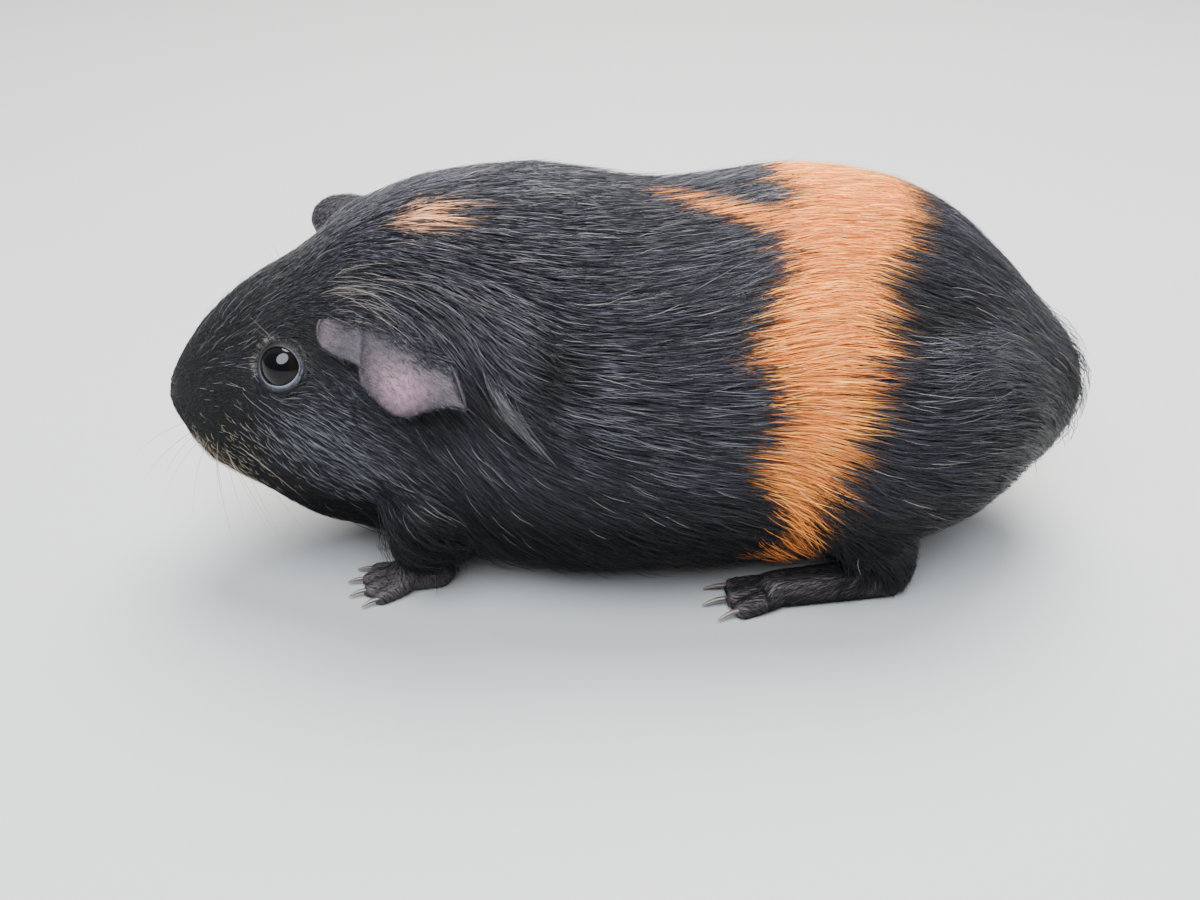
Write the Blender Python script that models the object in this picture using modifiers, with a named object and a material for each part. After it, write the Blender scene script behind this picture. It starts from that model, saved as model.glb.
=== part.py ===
"""Smooth-coated guinea pig, crouched on all four feet, as a still, life-size model.

The nose points along -X, the animal's left side along -Y and its back along +Z. The floor is
z = 0, and the origin lies under the middle of the body's length. Every solid follows the outside
of the coat. The body is lofted as one form along the spine, given its lower legs, and then
parted into head, neck, trunk, rump and legs by thin cuts. Feet, claws, ears and eyes are made on
their own and fitted to it with a little clearance.
"""

import math
from dataclasses import dataclass

import bmesh
import bpy
import numpy as np
from mathutils import Matrix, Vector
from mathutils.bvhtree import BVHTree

MM = 0.001
GAP = 0.3 * MM  # clearance between neighbouring solids
LOOSE_GAP = 0.5 * MM  # clearance where a creased form is cut out of a foot or an ear
SIDES = {"left": -1, "right": 1}

RINGS, SPOKES = 40, 24  # faces of the lofted body, along and around it
LEG_RINGS, LEG_SPOKES = 16, 24  # faces of a leg's ball
BONE_RINGS, BONE_SPOKES = 8, 14  # faces of a bone's round ends
WELD = 0.01 * MM
BELLY_FLOOR = 3.5  # no coat hangs lower than this, in millimetres
BELLY_SOFTNESS = 2.0  # roundness of the bend into that level, in millimetres
FAR = 200 * MM  # further than the body reaches from its middle plane


@dataclass(frozen=True)
class Section:
    """A cross-section of the coat, square to the spine, in millimetres and degrees."""

    name: str
    x: float  # middle of the section, along the body
    z: float  # middle of the section, above the floor
    climb: float  # slope of the spine here, seen from the nose
    half_width: float
    above: float  # middle to back
    below: float  # middle to belly


SECTIONS = (
    Section("nose tip", -118.6, 48.9, 11, 0.0, 0.0, 0.0),
    Section("nose pad", -116.3, 48.5, 11, 8.5, 6.5, 8.0),
    Section("nostrils", -112.4, 48.0, 11, 13.2, 12.0, 14.0),
    Section("lips", -108.2, 47.8, 10, 17.3, 17.6, 18.6),
    Section("muzzle", -101.6, 47.8, 8, 21.6, 24.6, 24.0),
    Section("eyes", -91.0, 49.2, 8, 27.0, 31.2, 31.8),
    Section("cheeks", -76.6, 51.9, 8, 32.6, 36.2, 38.6),
    Section("ears", -61.5, 53.0, 6, 37.0, 44.8, 45.0),
    Section("nape", -44.3, 50.2, 3, 42.0, 54.2, 48.5),
    Section("shoulders", -22.3, 46.4, 0, 47.5, 59.2, 48.5),
    Section("ribs", 7.8, 44.6, -2, 52.3, 57.2, 45.5),
    Section("loin", 37.8, 44.8, -6, 54.3, 60.0, 43.5),
    Section("hips", 66.0, 41.8, -14, 52.6, 55.8, 39.5),
    Section("rump", 88.8, 34.0, -28, 43.8, 41.2, 30.5),
    Section("tail root", 101.8, 29.2, -42, 30.5, 33.0, 20.0),
    Section("tail fur", 111.5, 27.4, -48, 17.0, 17.0, 9.5),
    Section("tail tip", 121.5, 27.0, -52, 0.0, 0.0, 0.0),
)


@dataclass(frozen=True)
class Swell:
    """A muscle or hollow that raises or lowers both flanks, in millimetres."""

    name: str
    x: float
    y: float  # distance from the middle plane
    z: float
    reach: tuple[float, float, float]
    push: float


SWELL_LEVEL = 45  # height at which a push goes straight out, in millimetres
SWELL_RISE = 0.35  # how far a push turns up or down above or below that level
SWELLS = (
    Swell("whisker pad", -107, 15, 41, (8, 10, 9), 1.2),
    Swell("temple", -90, 24, 74, (15, 12, 12), -2.4),
    Swell("cheek", -82, 30, 42, (16, 14, 15), 1.8),
    Swell("jaw hollow", -100, 10, 26, (9, 12, 7), -1.2),
    Swell("neck hollow", -50, 36, 46, (9, 14, 20), -1.6),
    Swell("shoulder", -24, 44, 40, (20, 16, 24), 2.0),
    Swell("waist", 26, 50, 34, (16, 18, 26), -2.0),
    Swell("haunch", 66, 48, 38, (26, 22, 26), 2.6),
)


@dataclass(frozen=True)
class Bone:
    """A tapered round-ended length, from one ball to another, in millimetres."""

    start: tuple[float, float, float]
    end: tuple[float, float, float]
    start_radius: float
    end_radius: float


# Lower legs, given for the right side. They run down from inside the coat to the wrist or hock.
FOREARM = (
    Bone((-53, 26, 28), (-55, 23, 15), 14.5, 8.5),
    Bone((-55, 23, 15), (-53, 22, 10), 8.5, 5.4),
)
SHANK = (
    Bone((58, 38, 25), (66, 37, 15), 14.0, 8.5),
    Bone((66, 37, 15), (67, 36, 11), 8.5, 5.8),
)


@dataclass(frozen=True)
class Cut:
    """A plane across the body that parts two nodes; lean tips its top back, in degrees."""

    x: float
    z: float
    lean: float


NECK_FRONT = Cut(-56, 60, -18)
NECK_BACK = Cut(-36, 55, -22)
RUMP_FRONT = Cut(62, 45, 8)


@dataclass(frozen=True)
class Leg:
    """The stretch of coat that belongs to a leg: a ball and all round its lower length."""

    centre: tuple[float, float, float]  # of the ball, for the right side
    radii: tuple[float, float, float]
    turn: float  # degrees about Y
    lower: tuple[Bone, ...]


FORELEG = Leg((-34, 44, 35), (25, 27, 36), 24, FOREARM)
HIND_LEG = Leg((67, 44, 32), (33, 30, 36), -24, SHANK)
LEG_MARGIN = 2.5  # how far a leg's stretch passes its lower length


@dataclass(frozen=True)
class Foot:
    """A bare foot with its sole on the floor, for the right side, in millimetres and degrees."""

    heel: tuple[float, float]
    sole_length: float  # heel to the roots of the toes
    splay: float  # outward turn of the foot
    heel_radius: float
    ball_radius: float
    toe_lengths: tuple[float, ...]
    toe_spread: float  # angle between neighbouring toes
    toe_radius: float
    claw_length: float
    keep: float  # share of the fused surface's faces that stay


FOREFOOT = Foot(
    heel=(-53, 22.0),
    sole_length=8.0,
    splay=6,
    heel_radius=4.9,
    ball_radius=4.4,
    toe_lengths=(6.5, 8.5, 8.5, 6.5),
    toe_spread=15,
    toe_radius=2.1,
    claw_length=4.2,
    keep=0.085,
)
HIND_FOOT = Foot(
    heel=(66, 36.5),
    sole_length=31.0,
    splay=4,
    heel_radius=5.4,
    ball_radius=4.8,
    toe_lengths=(9.0, 10.5, 8.5),
    toe_spread=14,
    toe_radius=2.5,
    claw_length=5.6,
    keep=0.05,
)
SOLE_SINK = 0.86  # share of a ball's radius that its centre stands above the floor
ANKLE_RISE, ANKLE_TAPER = 0.75, 0.9  # shares of the heel radius
KNUCKLE_RISE, KNUCKLE_SWELL = 1.35, 1.15  # shares of the toe radius, at a toe's root
CLAW_ROOT_RISE, CLAW_ROOT_RADIUS = 0.3, 0.42  # shares of the toe radius
CLAW_TIP_RADIUS = 0.3
CLAW_CLEAR = 0.6  # height of a claw's tip above the floor
CLAW_RINGS, CLAW_SPOKES = 5, 6
FOOT_VOXEL = 0.8 * MM
LIMB_VOXEL = 2.0 * MM
LIMB_KEEP, REGION_KEEP = 0.1, 0.022  # shares of the fused surface's faces that stay
SMOOTH_SHARE, SMOOTH_ROUNDS = 0.5, 3


@dataclass(frozen=True)
class Ear:
    """How an ear is held: the rise where it leaves the head, then the droop of each end."""

    rise: float
    front_end: float
    rear_end: float
    front_reach: float  # length of the small front lobe, in millimetres


EARS = {"left": Ear(12, -78, -88, 10.0), "right": Ear(58, 26, -48, 14.5)}
EAR_ROOT_X = (-77.0, -47.0)  # front and rear end of the ear's root
EAR_ROOT_Z = (77.5, 78.5)
EAR_ROOT_ARCH = 5.0  # rise of the root between its ends
EAR_FRONT_LOBE = ((0.0, 0.3), (0.1, 0.8), (0.25, 1.0), (0.37, 1.0))  # share of its reach
EAR_REAR_LOBE = ((0.46, 17.5), (0.6, 22.0), (0.8, 23.5), (0.93, 20.0), (1.0, 11.0))
EAR_SWEEP = (-0.12, 0.42)  # backward lean of the front and rear edge
EAR_THICK = 1.3 * MM
EAR_SINK = 2.5  # depth of the root under the coat
EAR_COLUMNS, EAR_ROWS = 13, 5

EYE_AT = (-86.9, 67.8)  # x and z where the eye meets the coat
EYE_RADIUS = 6.5 * MM
EYE_DEPTH = 4.0 * MM  # middle of the eyeball, under the coat


def spine_values(count):
    """Evenly spaced values along the spine, interpolated through the sections.

    Each row holds x, z, climb, half width, above and below. Beyond each pole the last section
    is mirrored, so that the form closes in a round end.
    """
    rows = np.array(
        [[s.x, s.z, s.climb, s.half_width, s.above, s.below] for s in SECTIONS], float
    )
    mirror = np.array([1, 1, 1, -1, -1, -1], float)
    rows = np.vstack([rows[1] * mirror, rows, rows[-2] * mirror])
    steps = np.linalg.norm(np.diff(rows[:, [0, 1, 3, 4]], axis=0), axis=1)
    knots = np.concatenate([[0], np.cumsum(np.sqrt(steps))])
    fine = np.vstack(
        [
            catmull_rom(rows[i - 1 : i + 3], knots[i - 1 : i + 3])
            for i in range(1, len(rows) - 2)
        ]
    )
    lengths = np.concatenate(
        [[0], np.cumsum(np.linalg.norm(np.diff(fine[:, [0, 1, 3, 4]], axis=0), axis=1))]
    )
    wanted = np.linspace(0, lengths[-1], count)
    return np.stack([np.interp(wanted, lengths, column) for column in fine.T], axis=1)


def catmull_rom(points, knots, samples=16):
    """Points on a centripetal Catmull-Rom curve between the second and third of four."""
    t = np.linspace(knots[1], knots[2], samples, endpoint=False)[:, None]

    def between(a, b, low, high):
        return (high - t) / (high - low) * a + (t - low) / (high - low) * b

    first = between(points[0], points[1], knots[0], knots[1])
    second = between(points[1], points[2], knots[1], knots[2])
    third = between(points[2], points[3], knots[2], knots[3])
    inner = between(first, second, knots[0], knots[2])
    outer = between(second, third, knots[1], knots[3])
    return between(inner, outer, knots[1], knots[2])


def collection(name):
    """A new collection in the scene."""
    made = bpy.data.collections.new(name)
    bpy.context.scene.collection.children.link(made)
    return made


def material(name, colour, roughness):
    """A plain Principled material."""
    made = bpy.data.materials.new(name)
    made.use_nodes = True
    shader = made.node_tree.nodes["Principled BSDF"]
    shader.inputs["Base Color"].default_value = (*colour, 1)
    shader.inputs["Roughness"].default_value = roughness
    return made


def new_object(name, bm, home, finish=None):
    """Turns a bmesh into an object of a collection; one with no finish is a hidden helper."""
    mesh = bpy.data.meshes.new(name)
    bmesh.ops.recalc_face_normals(bm, faces=bm.faces)
    bm.to_mesh(mesh)
    bm.free()
    mesh.shade_smooth()
    obj = bpy.data.objects.new(name, mesh)
    home.objects.link(obj)
    if finish:
        mesh.materials.append(finish)
    else:
        obj.hide_render = True
        obj.display_type = "WIRE"
    return obj


def boolean(obj, operation, *others):
    """Adds a Boolean with each of some other objects."""
    for other in others:
        modifier = obj.modifiers.new(f"{operation.lower()} {other.name}", "BOOLEAN")
        modifier.operation = operation
        modifier.object = other


def read_mesh(obj):
    """A bmesh of what an object's modifiers make, in the scene's own frame."""
    graph = bpy.context.evaluated_depsgraph_get()
    mesh = bpy.data.meshes.new_from_object(obj.evaluated_get(graph), depsgraph=graph)
    bm = bmesh.new()
    bm.from_mesh(mesh)
    bm.transform(obj.matrix_world)
    bmesh.ops.remove_doubles(bm, verts=bm.verts, dist=WELD)
    bpy.data.meshes.remove(mesh)
    return bm


def inflated(obj, home, by=GAP):
    """A helper that stands a little proud of another object all over."""
    helper = new_object(f"{obj.name} outline", read_mesh(obj), home)
    swell = helper.modifiers.new("clearance", "DISPLACE")
    swell.mid_level = 0
    swell.strength = by
    return new_object(f"{obj.name} clearance", read_mesh(helper), home)


def leg_region(name, leg, side, home):
    """The closed form that parts a leg from the rest of the coat."""
    bm = bmesh.new()
    bmesh.ops.create_uvsphere(bm, u_segments=LEG_SPOKES, v_segments=LEG_RINGS, radius=1)
    x, y, z = leg.centre
    place = Matrix.Translation(Vector((x, side * y, z)) * MM)
    spin = Matrix.Rotation(math.radians(leg.turn), 4, "Y")
    bm.transform(place @ spin @ Matrix.Diagonal((*(Vector(leg.radii) * MM), 1)))
    for bone in leg.lower:
        wider = (bone.start_radius + LEG_MARGIN, bone.end_radius + LEG_MARGIN)
        add_bone(bm, Bone(bone.start, bone.end, *wider), side)
    shape = fused(f"{name} shape", bm, LIMB_VOXEL, REGION_KEEP, home)
    return new_object(name, read_mesh(shape), home)


def add_bone(bm, bone, side=1):
    """Adds a tapered round-ended length to a bmesh, as three closed shapes that overlap."""
    start, end = (
        Vector((x, side * y, z)) * MM for x, y, z in (bone.start, bone.end)
    )
    along = end - start
    turn = along.to_track_quat("Z", "Y").to_matrix().to_4x4()
    for place, radius in ((start, bone.start_radius), (end, bone.end_radius)):
        bmesh.ops.create_uvsphere(
            bm,
            u_segments=BONE_SPOKES,
            v_segments=BONE_RINGS,
            radius=radius * MM,
            matrix=Matrix.Translation(place) @ turn,
        )
    bmesh.ops.create_cone(
        bm,
        cap_ends=True,
        segments=BONE_SPOKES,
        radius1=bone.start_radius * MM,
        radius2=bone.end_radius * MM,
        depth=along.length,
        matrix=Matrix.Translation((start + end) / 2) @ turn,
    )


def fused(name, bm, voxel, keep, home):
    """Joins overlapping shapes into one smooth closed body with few faces."""
    helper = new_object(name, bm, home)
    remesh = helper.modifiers.new("join", "REMESH")
    remesh.mode = "VOXEL"
    remesh.voxel_size = voxel
    smooth = helper.modifiers.new("smooth", "SMOOTH")
    smooth.factor = SMOOTH_SHARE
    smooth.iterations = SMOOTH_ROUNDS
    fewer = helper.modifiers.new("fewer faces", "DECIMATE")
    fewer.ratio = keep
    return helper


def lofted_body(home):
    """The whole coat from nose to tail fur, shaped from a ball whose rings take the sections."""
    bm = bmesh.new()
    bmesh.ops.create_uvsphere(bm, u_segments=SPOKES, v_segments=RINGS, radius=1)
    values = spine_values(RINGS + 1)
    for vert in bm.verts:
        ring = round(math.acos(max(-1, min(1, vert.co.z))) / math.pi * RINGS)
        around = math.atan2(vert.co.y, vert.co.x)
        x, z, climb, half_width, above, below = values[ring]
        side, rise = math.sin(around), math.cos(around)
        lift = rise * (above if rise > 0 else below)
        slope = math.radians(climb)
        vert.co = Vector(
            (x - lift * math.sin(slope), side * half_width, z + lift * math.cos(slope))
        )
    for swell in SWELLS:
        raise_flanks(bm, swell)
    for vert in bm.verts:
        vert.co.z = lifted_belly(vert.co.z)
        vert.co *= MM
    return new_object("loft", bm, home)


def raise_flanks(bm, swell):
    """Pushes both flanks out, or in, round the place of a muscle."""
    for side in SIDES.values():
        middle = Vector((swell.x, side * swell.y, swell.z))
        for vert in bm.verts:
            away = vert.co - middle
            spread = sum((a / r) ** 2 for a, r in zip(away, swell.reach, strict=True))
            outward = Vector((0, vert.co.y, SWELL_RISE * (vert.co.z - SWELL_LEVEL)))
            if outward.length > 1:
                vert.co += outward.normalized() * swell.push * math.exp(-spread)


def lifted_belly(height):
    """Rounds off whatever would hang below the belly's lowest level."""
    above = (height - BELLY_FLOOR) / BELLY_SOFTNESS
    return BELLY_FLOOR + BELLY_SOFTNESS * (above + math.log1p(math.exp(-above)))


def coat_form(home):
    """The lofted body joined with the furred lower legs, as one closed form."""
    form = lofted_body(home)
    for side_name, side in SIDES.items():
        for limb_name, bones in (("forearm", FOREARM), ("shank", SHANK)):
            bm = bmesh.new()
            for bone in bones:
                add_bone(bm, bone, side)
            limb = fused(f"{limb_name} {side_name}", bm, LIMB_VOXEL, LIMB_KEEP, home)
            solid = new_object(f"{limb.name} solid", read_mesh(limb), home)
            boolean(form, "UNION", solid)
    return new_object("coat", read_mesh(form), home)


def trimmed(bm, place, normal):
    """Cuts a closed mesh with a plane, drops what is behind the plane, and closes the rest."""
    done = bmesh.ops.bisect_plane(
        bm,
        geom=[*bm.verts, *bm.edges, *bm.faces],
        plane_co=place,
        plane_no=normal,
        clear_inner=True,
    )
    rim = [part for part in done["geom_cut"] if isinstance(part, bmesh.types.BMEdge)]
    bmesh.ops.holes_fill(bm, edges=rim)


def sliced(name, source, home, finish, front=None, back=None):
    """The part of a form between two cuts, closed, and clear of each by half the gap."""
    bm = read_mesh(source)
    for cut, facing in ((front, 1), (back, -1)):
        if cut:
            lean = math.radians(cut.lean)
            normal = Vector((math.cos(lean), 0, math.sin(lean))) * facing
            trimmed(bm, Vector((cut.x, 0, cut.z)) * MM + normal * GAP / 2, normal)
    return new_object(name, bm, home, finish)


def foot_bones(foot):
    """The heel, sole and toes of a foot, with the axis and tip of each toe for its claw."""
    forward = Matrix.Rotation(math.radians(-foot.splay), 3, "Z") @ Vector((-1, 0, 0))
    heel = Vector((*foot.heel, foot.heel_radius * SOLE_SINK))
    toe_roots = heel + forward * foot.sole_length
    toe_roots.z = foot.ball_radius * SOLE_SINK
    ankle = heel + Vector((0, 0, foot.heel_radius * ANKLE_RISE))
    bones = [
        Bone(tuple(heel), tuple(toe_roots), foot.heel_radius, foot.ball_radius),
        Bone(tuple(heel), tuple(ankle), foot.heel_radius, foot.heel_radius * ANKLE_TAPER),
    ]
    tips = []
    middle = (len(foot.toe_lengths) - 1) / 2
    for index, length in enumerate(foot.toe_lengths):
        turn = Matrix.Rotation(math.radians((middle - index) * foot.toe_spread), 3, "Z")
        along = turn @ forward
        across = Vector((-forward.y, forward.x, 0)) * (middle - index)
        root = toe_roots + across * foot.toe_radius + along * foot.ball_radius / 3
        root.z = foot.toe_radius * KNUCKLE_RISE
        tip = root + along * length
        tip.z = foot.toe_radius * SOLE_SINK
        knuckle = foot.toe_radius * KNUCKLE_SWELL
        bones.append(Bone(tuple(root), tuple(tip), knuckle, foot.toe_radius))
        tips.append((tip, along))
    return bones, tips


def make_claw(name, foot, tip, along, side, home):
    """A curved, tapered claw that starts inside its toe, shaped from a ball."""
    bm = bmesh.new()
    bmesh.ops.create_uvsphere(bm, u_segments=CLAW_SPOKES, v_segments=CLAW_RINGS, radius=1)
    start = tip + Vector((0, 0, foot.toe_radius * CLAW_ROOT_RISE))
    length = foot.toe_radius + foot.claw_length
    drop = start.z - CLAW_TIP_RADIUS - CLAW_CLEAR
    thick = foot.toe_radius * CLAW_ROOT_RADIUS
    across = Vector((-along.y, along.x, 0))
    for vert in bm.verts:
        ring = math.acos(max(-1, min(1, vert.co.z))) / math.pi
        around = math.atan2(vert.co.y, vert.co.x)
        at_end = round(ring * CLAW_RINGS) in (0, CLAW_RINGS)
        radius = 0 if at_end else thick + (CLAW_TIP_RADIUS - thick) * ring
        place = start + along * length * ring - Vector((0, 0, drop * ring**2))
        place += (across * math.cos(around) + Vector((0, 0, math.sin(around)))) * radius
        vert.co = Vector((place.x, side * place.y, place.z)) * MM
    return new_object(name, bm, home)


def make_foot(limb, side_name, foot, coat_clearance, homes, finishes):
    """A foot with a flat sole, clear of the coat, and its claws, clear of the foot."""
    helpers, animal = homes
    skin, horn = finishes
    side = SIDES[side_name]
    name = f"{limb}foot_{side_name}"
    bones, tips = foot_bones(foot)
    bm = bmesh.new()
    for bone in bones:
        add_bone(bm, bone, side)
    shape = fused(f"{name} shape", bm, FOOT_VOXEL, foot.keep, helpers)
    bm = read_mesh(shape)
    trimmed(bm, Vector((0, 0, 0)), Vector((0, 0, 1)))
    made = new_object(name, bm, animal, skin)
    boolean(made, "DIFFERENCE", coat_clearance)
    toes = inflated(shape, helpers)
    for index, (tip, along) in enumerate(tips):
        shape = make_claw(f"{name} claw {index + 1}", foot, tip, along, side, helpers)
        claw = new_object(f"claw_{limb}_{side_name}_{index + 1}", read_mesh(shape), animal, horn)
        boolean(claw, "DIFFERENCE", toes)


def coat_surface(tree, x, z, side):
    """Where the coat's flank stands at a place along and above, and which way it faces."""
    start = Vector((x * MM, side * FAR, z * MM))
    place, normal, _, _ = tree.ray_cast(start, Vector((0, -side, 0)))
    return place, normal


def ear_line(ear, side, tree, u):
    """Points down an ear from its root to its edge, at a share of the way to its rear."""
    x = np.interp(u, (0, 1), EAR_ROOT_X)
    z = np.interp(u, (0, 1), EAR_ROOT_Z) + EAR_ROOT_ARCH * math.sin(math.pi * u)
    root, _ = coat_surface(tree, x, z, side)
    outward = Vector((np.interp(u, (0, 1), EAR_SWEEP), side, 0)).normalized()
    front = [(stop, share * ear.front_reach) for stop, share in EAR_FRONT_LOBE]
    stops, reaches = zip(*front, *EAR_REAR_LOBE, strict=True)
    step = (np.interp(u, stops, reaches) + EAR_SINK) * MM / EAR_ROWS
    start = math.radians(ear.rise)
    end = math.radians(np.interp(u, (0, 1), (ear.front_end, ear.rear_end)))
    line = [root - outward * EAR_SINK * MM]
    for row in range(EAR_ROWS):
        angle = start + (end - start) * (row + 0.5) / EAR_ROWS
        heading = outward * math.cos(angle) + Vector((0, 0, math.sin(angle)))
        line.append(line[-1] + heading * step)
    return line


def make_ear(side_name, tree, clearance, homes, finish):
    """A thin ear with a small front lobe and a large rear one, rooted in the coat."""
    helpers, animal = homes
    name = f"ear_{side_name}"
    bm = bmesh.new()
    grid = []
    for column in range(EAR_COLUMNS + 1):
        line = ear_line(EARS[side_name], SIDES[side_name], tree, column / EAR_COLUMNS)
        grid.append([bm.verts.new(place) for place in line])
    for near, far in zip(grid, grid[1:], strict=False):
        for row in range(EAR_ROWS):
            bm.faces.new((near[row], near[row + 1], far[row + 1], far[row]))
    sheet = new_object(f"{name} sheet", bm, helpers)
    sheet.modifiers.new("round edge", "SMOOTH")
    thick = sheet.modifiers.new("thickness", "SOLIDIFY")
    thick.thickness = EAR_THICK
    thick.offset = 0
    made = new_object(name, read_mesh(sheet), animal, finish)
    boolean(made, "DIFFERENCE", clearance)


def make_eye(name, side, tree, radius, home, finish=None):
    """A ball sunk in the side of the head: an eye or, a little larger, its socket."""
    place, normal = coat_surface(tree, *EYE_AT, side)
    bm = bmesh.new()
    middle = Matrix.Translation(place - normal * EYE_DEPTH)
    bmesh.ops.create_icosphere(bm, subdivisions=3, radius=radius, matrix=middle)
    return new_object(name, bm, home, finish)


def build():
    """Models every sub-part and leaves each as one object of the animal's collection."""
    helpers, animal = homes = (collection("helpers"), collection("guinea pig"))
    black = material("black coat", (0.020, 0.020, 0.024), 0.55)
    skin = material("bare skin", (0.20, 0.15, 0.17), 0.5)
    horn = material("claw horn", (0.05, 0.04, 0.04), 0.35)
    glossy = material("eye", (0.006, 0.005, 0.006), 0.05)

    coat = coat_form(helpers)
    clearance = inflated(coat, helpers, LOOSE_GAP)
    surface = read_mesh(coat)
    tree = BVHTree.FromBMesh(surface)
    surface.free()

    head = sliced("head", coat, animal, black, back=NECK_FRONT)
    neck = sliced("neck", coat, animal, black, front=NECK_FRONT, back=NECK_BACK)
    trunk = sliced("trunk", coat, animal, black, front=NECK_BACK, back=RUMP_FRONT)
    rump = sliced("rump", coat, animal, black, front=RUMP_FRONT)

    for side_name, side in SIDES.items():
        for limb, leg, neighbours in (
            ("foreleg", FORELEG, (head, neck, trunk)),
            ("hind_leg", HIND_LEG, (trunk, rump)),
        ):
            name = f"{limb}_{side_name}"
            region = leg_region(f"{name} region", leg, side, helpers)
            made = new_object(name, read_mesh(coat), animal, black)
            boolean(made, "INTERSECT", region)
            around = inflated(region, helpers)
            for neighbour in neighbours:
                boolean(neighbour, "DIFFERENCE", around)
        make_foot("fore", side_name, FOREFOOT, clearance, homes, (skin, horn))
        make_foot("hind", side_name, HIND_FOOT, clearance, homes, (skin, horn))
        make_ear(side_name, tree, clearance, homes, skin)
        make_eye(f"eye_{side_name}", side, tree, EYE_RADIUS, animal, glossy)
        socket = make_eye(f"socket {side_name}", side, tree, EYE_RADIUS + GAP, helpers)
        boolean(head, "DIFFERENCE", socket)
    stand_over_origin(coat)


def stand_over_origin(coat):
    """Moves all objects so that the middle of the coat's length lies over the origin."""
    reach = [vert.co.x for vert in coat.data.vertices]
    for obj in bpy.data.objects:
        obj.location.x = -(min(reach) + max(reach)) / 2


if __name__ == "__main__":
    for old in list(bpy.data.objects):
        bpy.data.objects.remove(old)
    build()
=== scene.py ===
"""Skin, coat, eyes, ears and studio for the still model of a smooth-coated guinea pig.

The animal faces -X with its left side at -Y. Shapes are worked out in millimetres, in the frame
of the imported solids, and turned into metres when a mesh is made.
"""

import functools
import logging
import math
from collections.abc import Callable
from dataclasses import dataclass
from enum import Enum, IntEnum

import bpy
import numpy as np
from mathutils import Matrix, Vector
from mathutils.bvhtree import BVHTree

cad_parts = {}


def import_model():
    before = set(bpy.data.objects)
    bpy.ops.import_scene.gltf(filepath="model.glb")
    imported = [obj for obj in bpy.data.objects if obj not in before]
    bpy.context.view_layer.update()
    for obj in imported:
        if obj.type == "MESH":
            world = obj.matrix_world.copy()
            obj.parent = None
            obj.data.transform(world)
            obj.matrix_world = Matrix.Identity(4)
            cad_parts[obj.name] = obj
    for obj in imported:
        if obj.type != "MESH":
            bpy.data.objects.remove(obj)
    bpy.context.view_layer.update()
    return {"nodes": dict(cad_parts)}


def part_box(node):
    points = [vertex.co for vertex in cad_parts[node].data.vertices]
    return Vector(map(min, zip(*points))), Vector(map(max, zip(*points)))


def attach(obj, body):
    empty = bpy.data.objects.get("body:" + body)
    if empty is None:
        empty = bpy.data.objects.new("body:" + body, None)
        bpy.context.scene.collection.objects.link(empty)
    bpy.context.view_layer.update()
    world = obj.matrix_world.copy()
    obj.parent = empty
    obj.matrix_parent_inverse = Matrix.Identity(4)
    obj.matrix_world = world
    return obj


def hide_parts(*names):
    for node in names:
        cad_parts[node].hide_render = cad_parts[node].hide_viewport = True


LOG = logging.getLogger("guinea_pig")
MM = 0.001
WELD = 0.005  # corners of the CAD facets nearer than this are one, in millimetres
SIDES = {"left": -1, "right": 1}
Points = np.ndarray
Thing = bpy.types.Object


class Slot(Enum):
    """Material slots of the record."""

    COAT = "coat"
    SKIN = "bare_skin"
    CLAW = "claw_horn"
    EYE = "eye"


class Draw(IntEnum):
    """Seeds of the random draws."""

    COAT = 5
    BROAD_WAVES = 11
    FINE_WAVES = 12
    COAT_ROOTS = 21
    CLUMPS = 31
    HEIGHTS = 32
    EAR_COVER = 41
    EAR_FUZZ = 42
    STRAYS = 43
    EAR_BACK = 44
    LIDS = 45
    LOCK = 61
    FRINGE = 71
    LASHES = 81


# ---- shader maths


class Sock:
    """A shader socket that the usual operators work on."""

    def __init__(self, nodes: "Nodes", socket: bpy.types.NodeSocket) -> None:
        """Wraps an output socket of a material's nodes."""
        self.nodes = nodes
        self.socket = socket

    def __add__(self, other: "Value") -> "Sock":
        """Sum."""
        return self.nodes.math("ADD", self, other)

    __radd__ = __add__

    def __sub__(self, other: "Value") -> "Sock":
        """Difference."""
        return self.nodes.math("SUBTRACT", self, other)

    def __rsub__(self, other: "Value") -> "Sock":
        """Difference from a number."""
        return self.nodes.math("SUBTRACT", other, self)

    def __mul__(self, other: "Value") -> "Sock":
        """Product."""
        return self.nodes.math("MULTIPLY", self, other)

    __rmul__ = __mul__

    def __truediv__(self, other: "Value") -> "Sock":
        """Quotient."""
        return self.nodes.math("DIVIDE", self, other)

    def __neg__(self) -> "Sock":
        """The opposite number."""
        return self * -1.0

    def __abs__(self) -> "Sock":
        """The size, without its sign."""
        return self.nodes.math("ABSOLUTE", self)

    def clamped(self) -> "Sock":
        """The value kept between 0 and 1."""
        return self.nodes.math("MULTIPLY", self, 1.0, clamp=True)

    def step(self, low: float, high: float) -> "Sock":
        """Smooth rise from 0 at low to 1 at high, or a fall where high is the lower one."""
        ends = {1: min(low, high), 2: max(low, high), 3: float(low > high), 4: float(low < high)}
        return self.nodes.node("MapRange", {0: self, **ends}, interpolation_type="SMOOTHSTEP")


Value = Sock | float
Colour = tuple[float, float, float]


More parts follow.
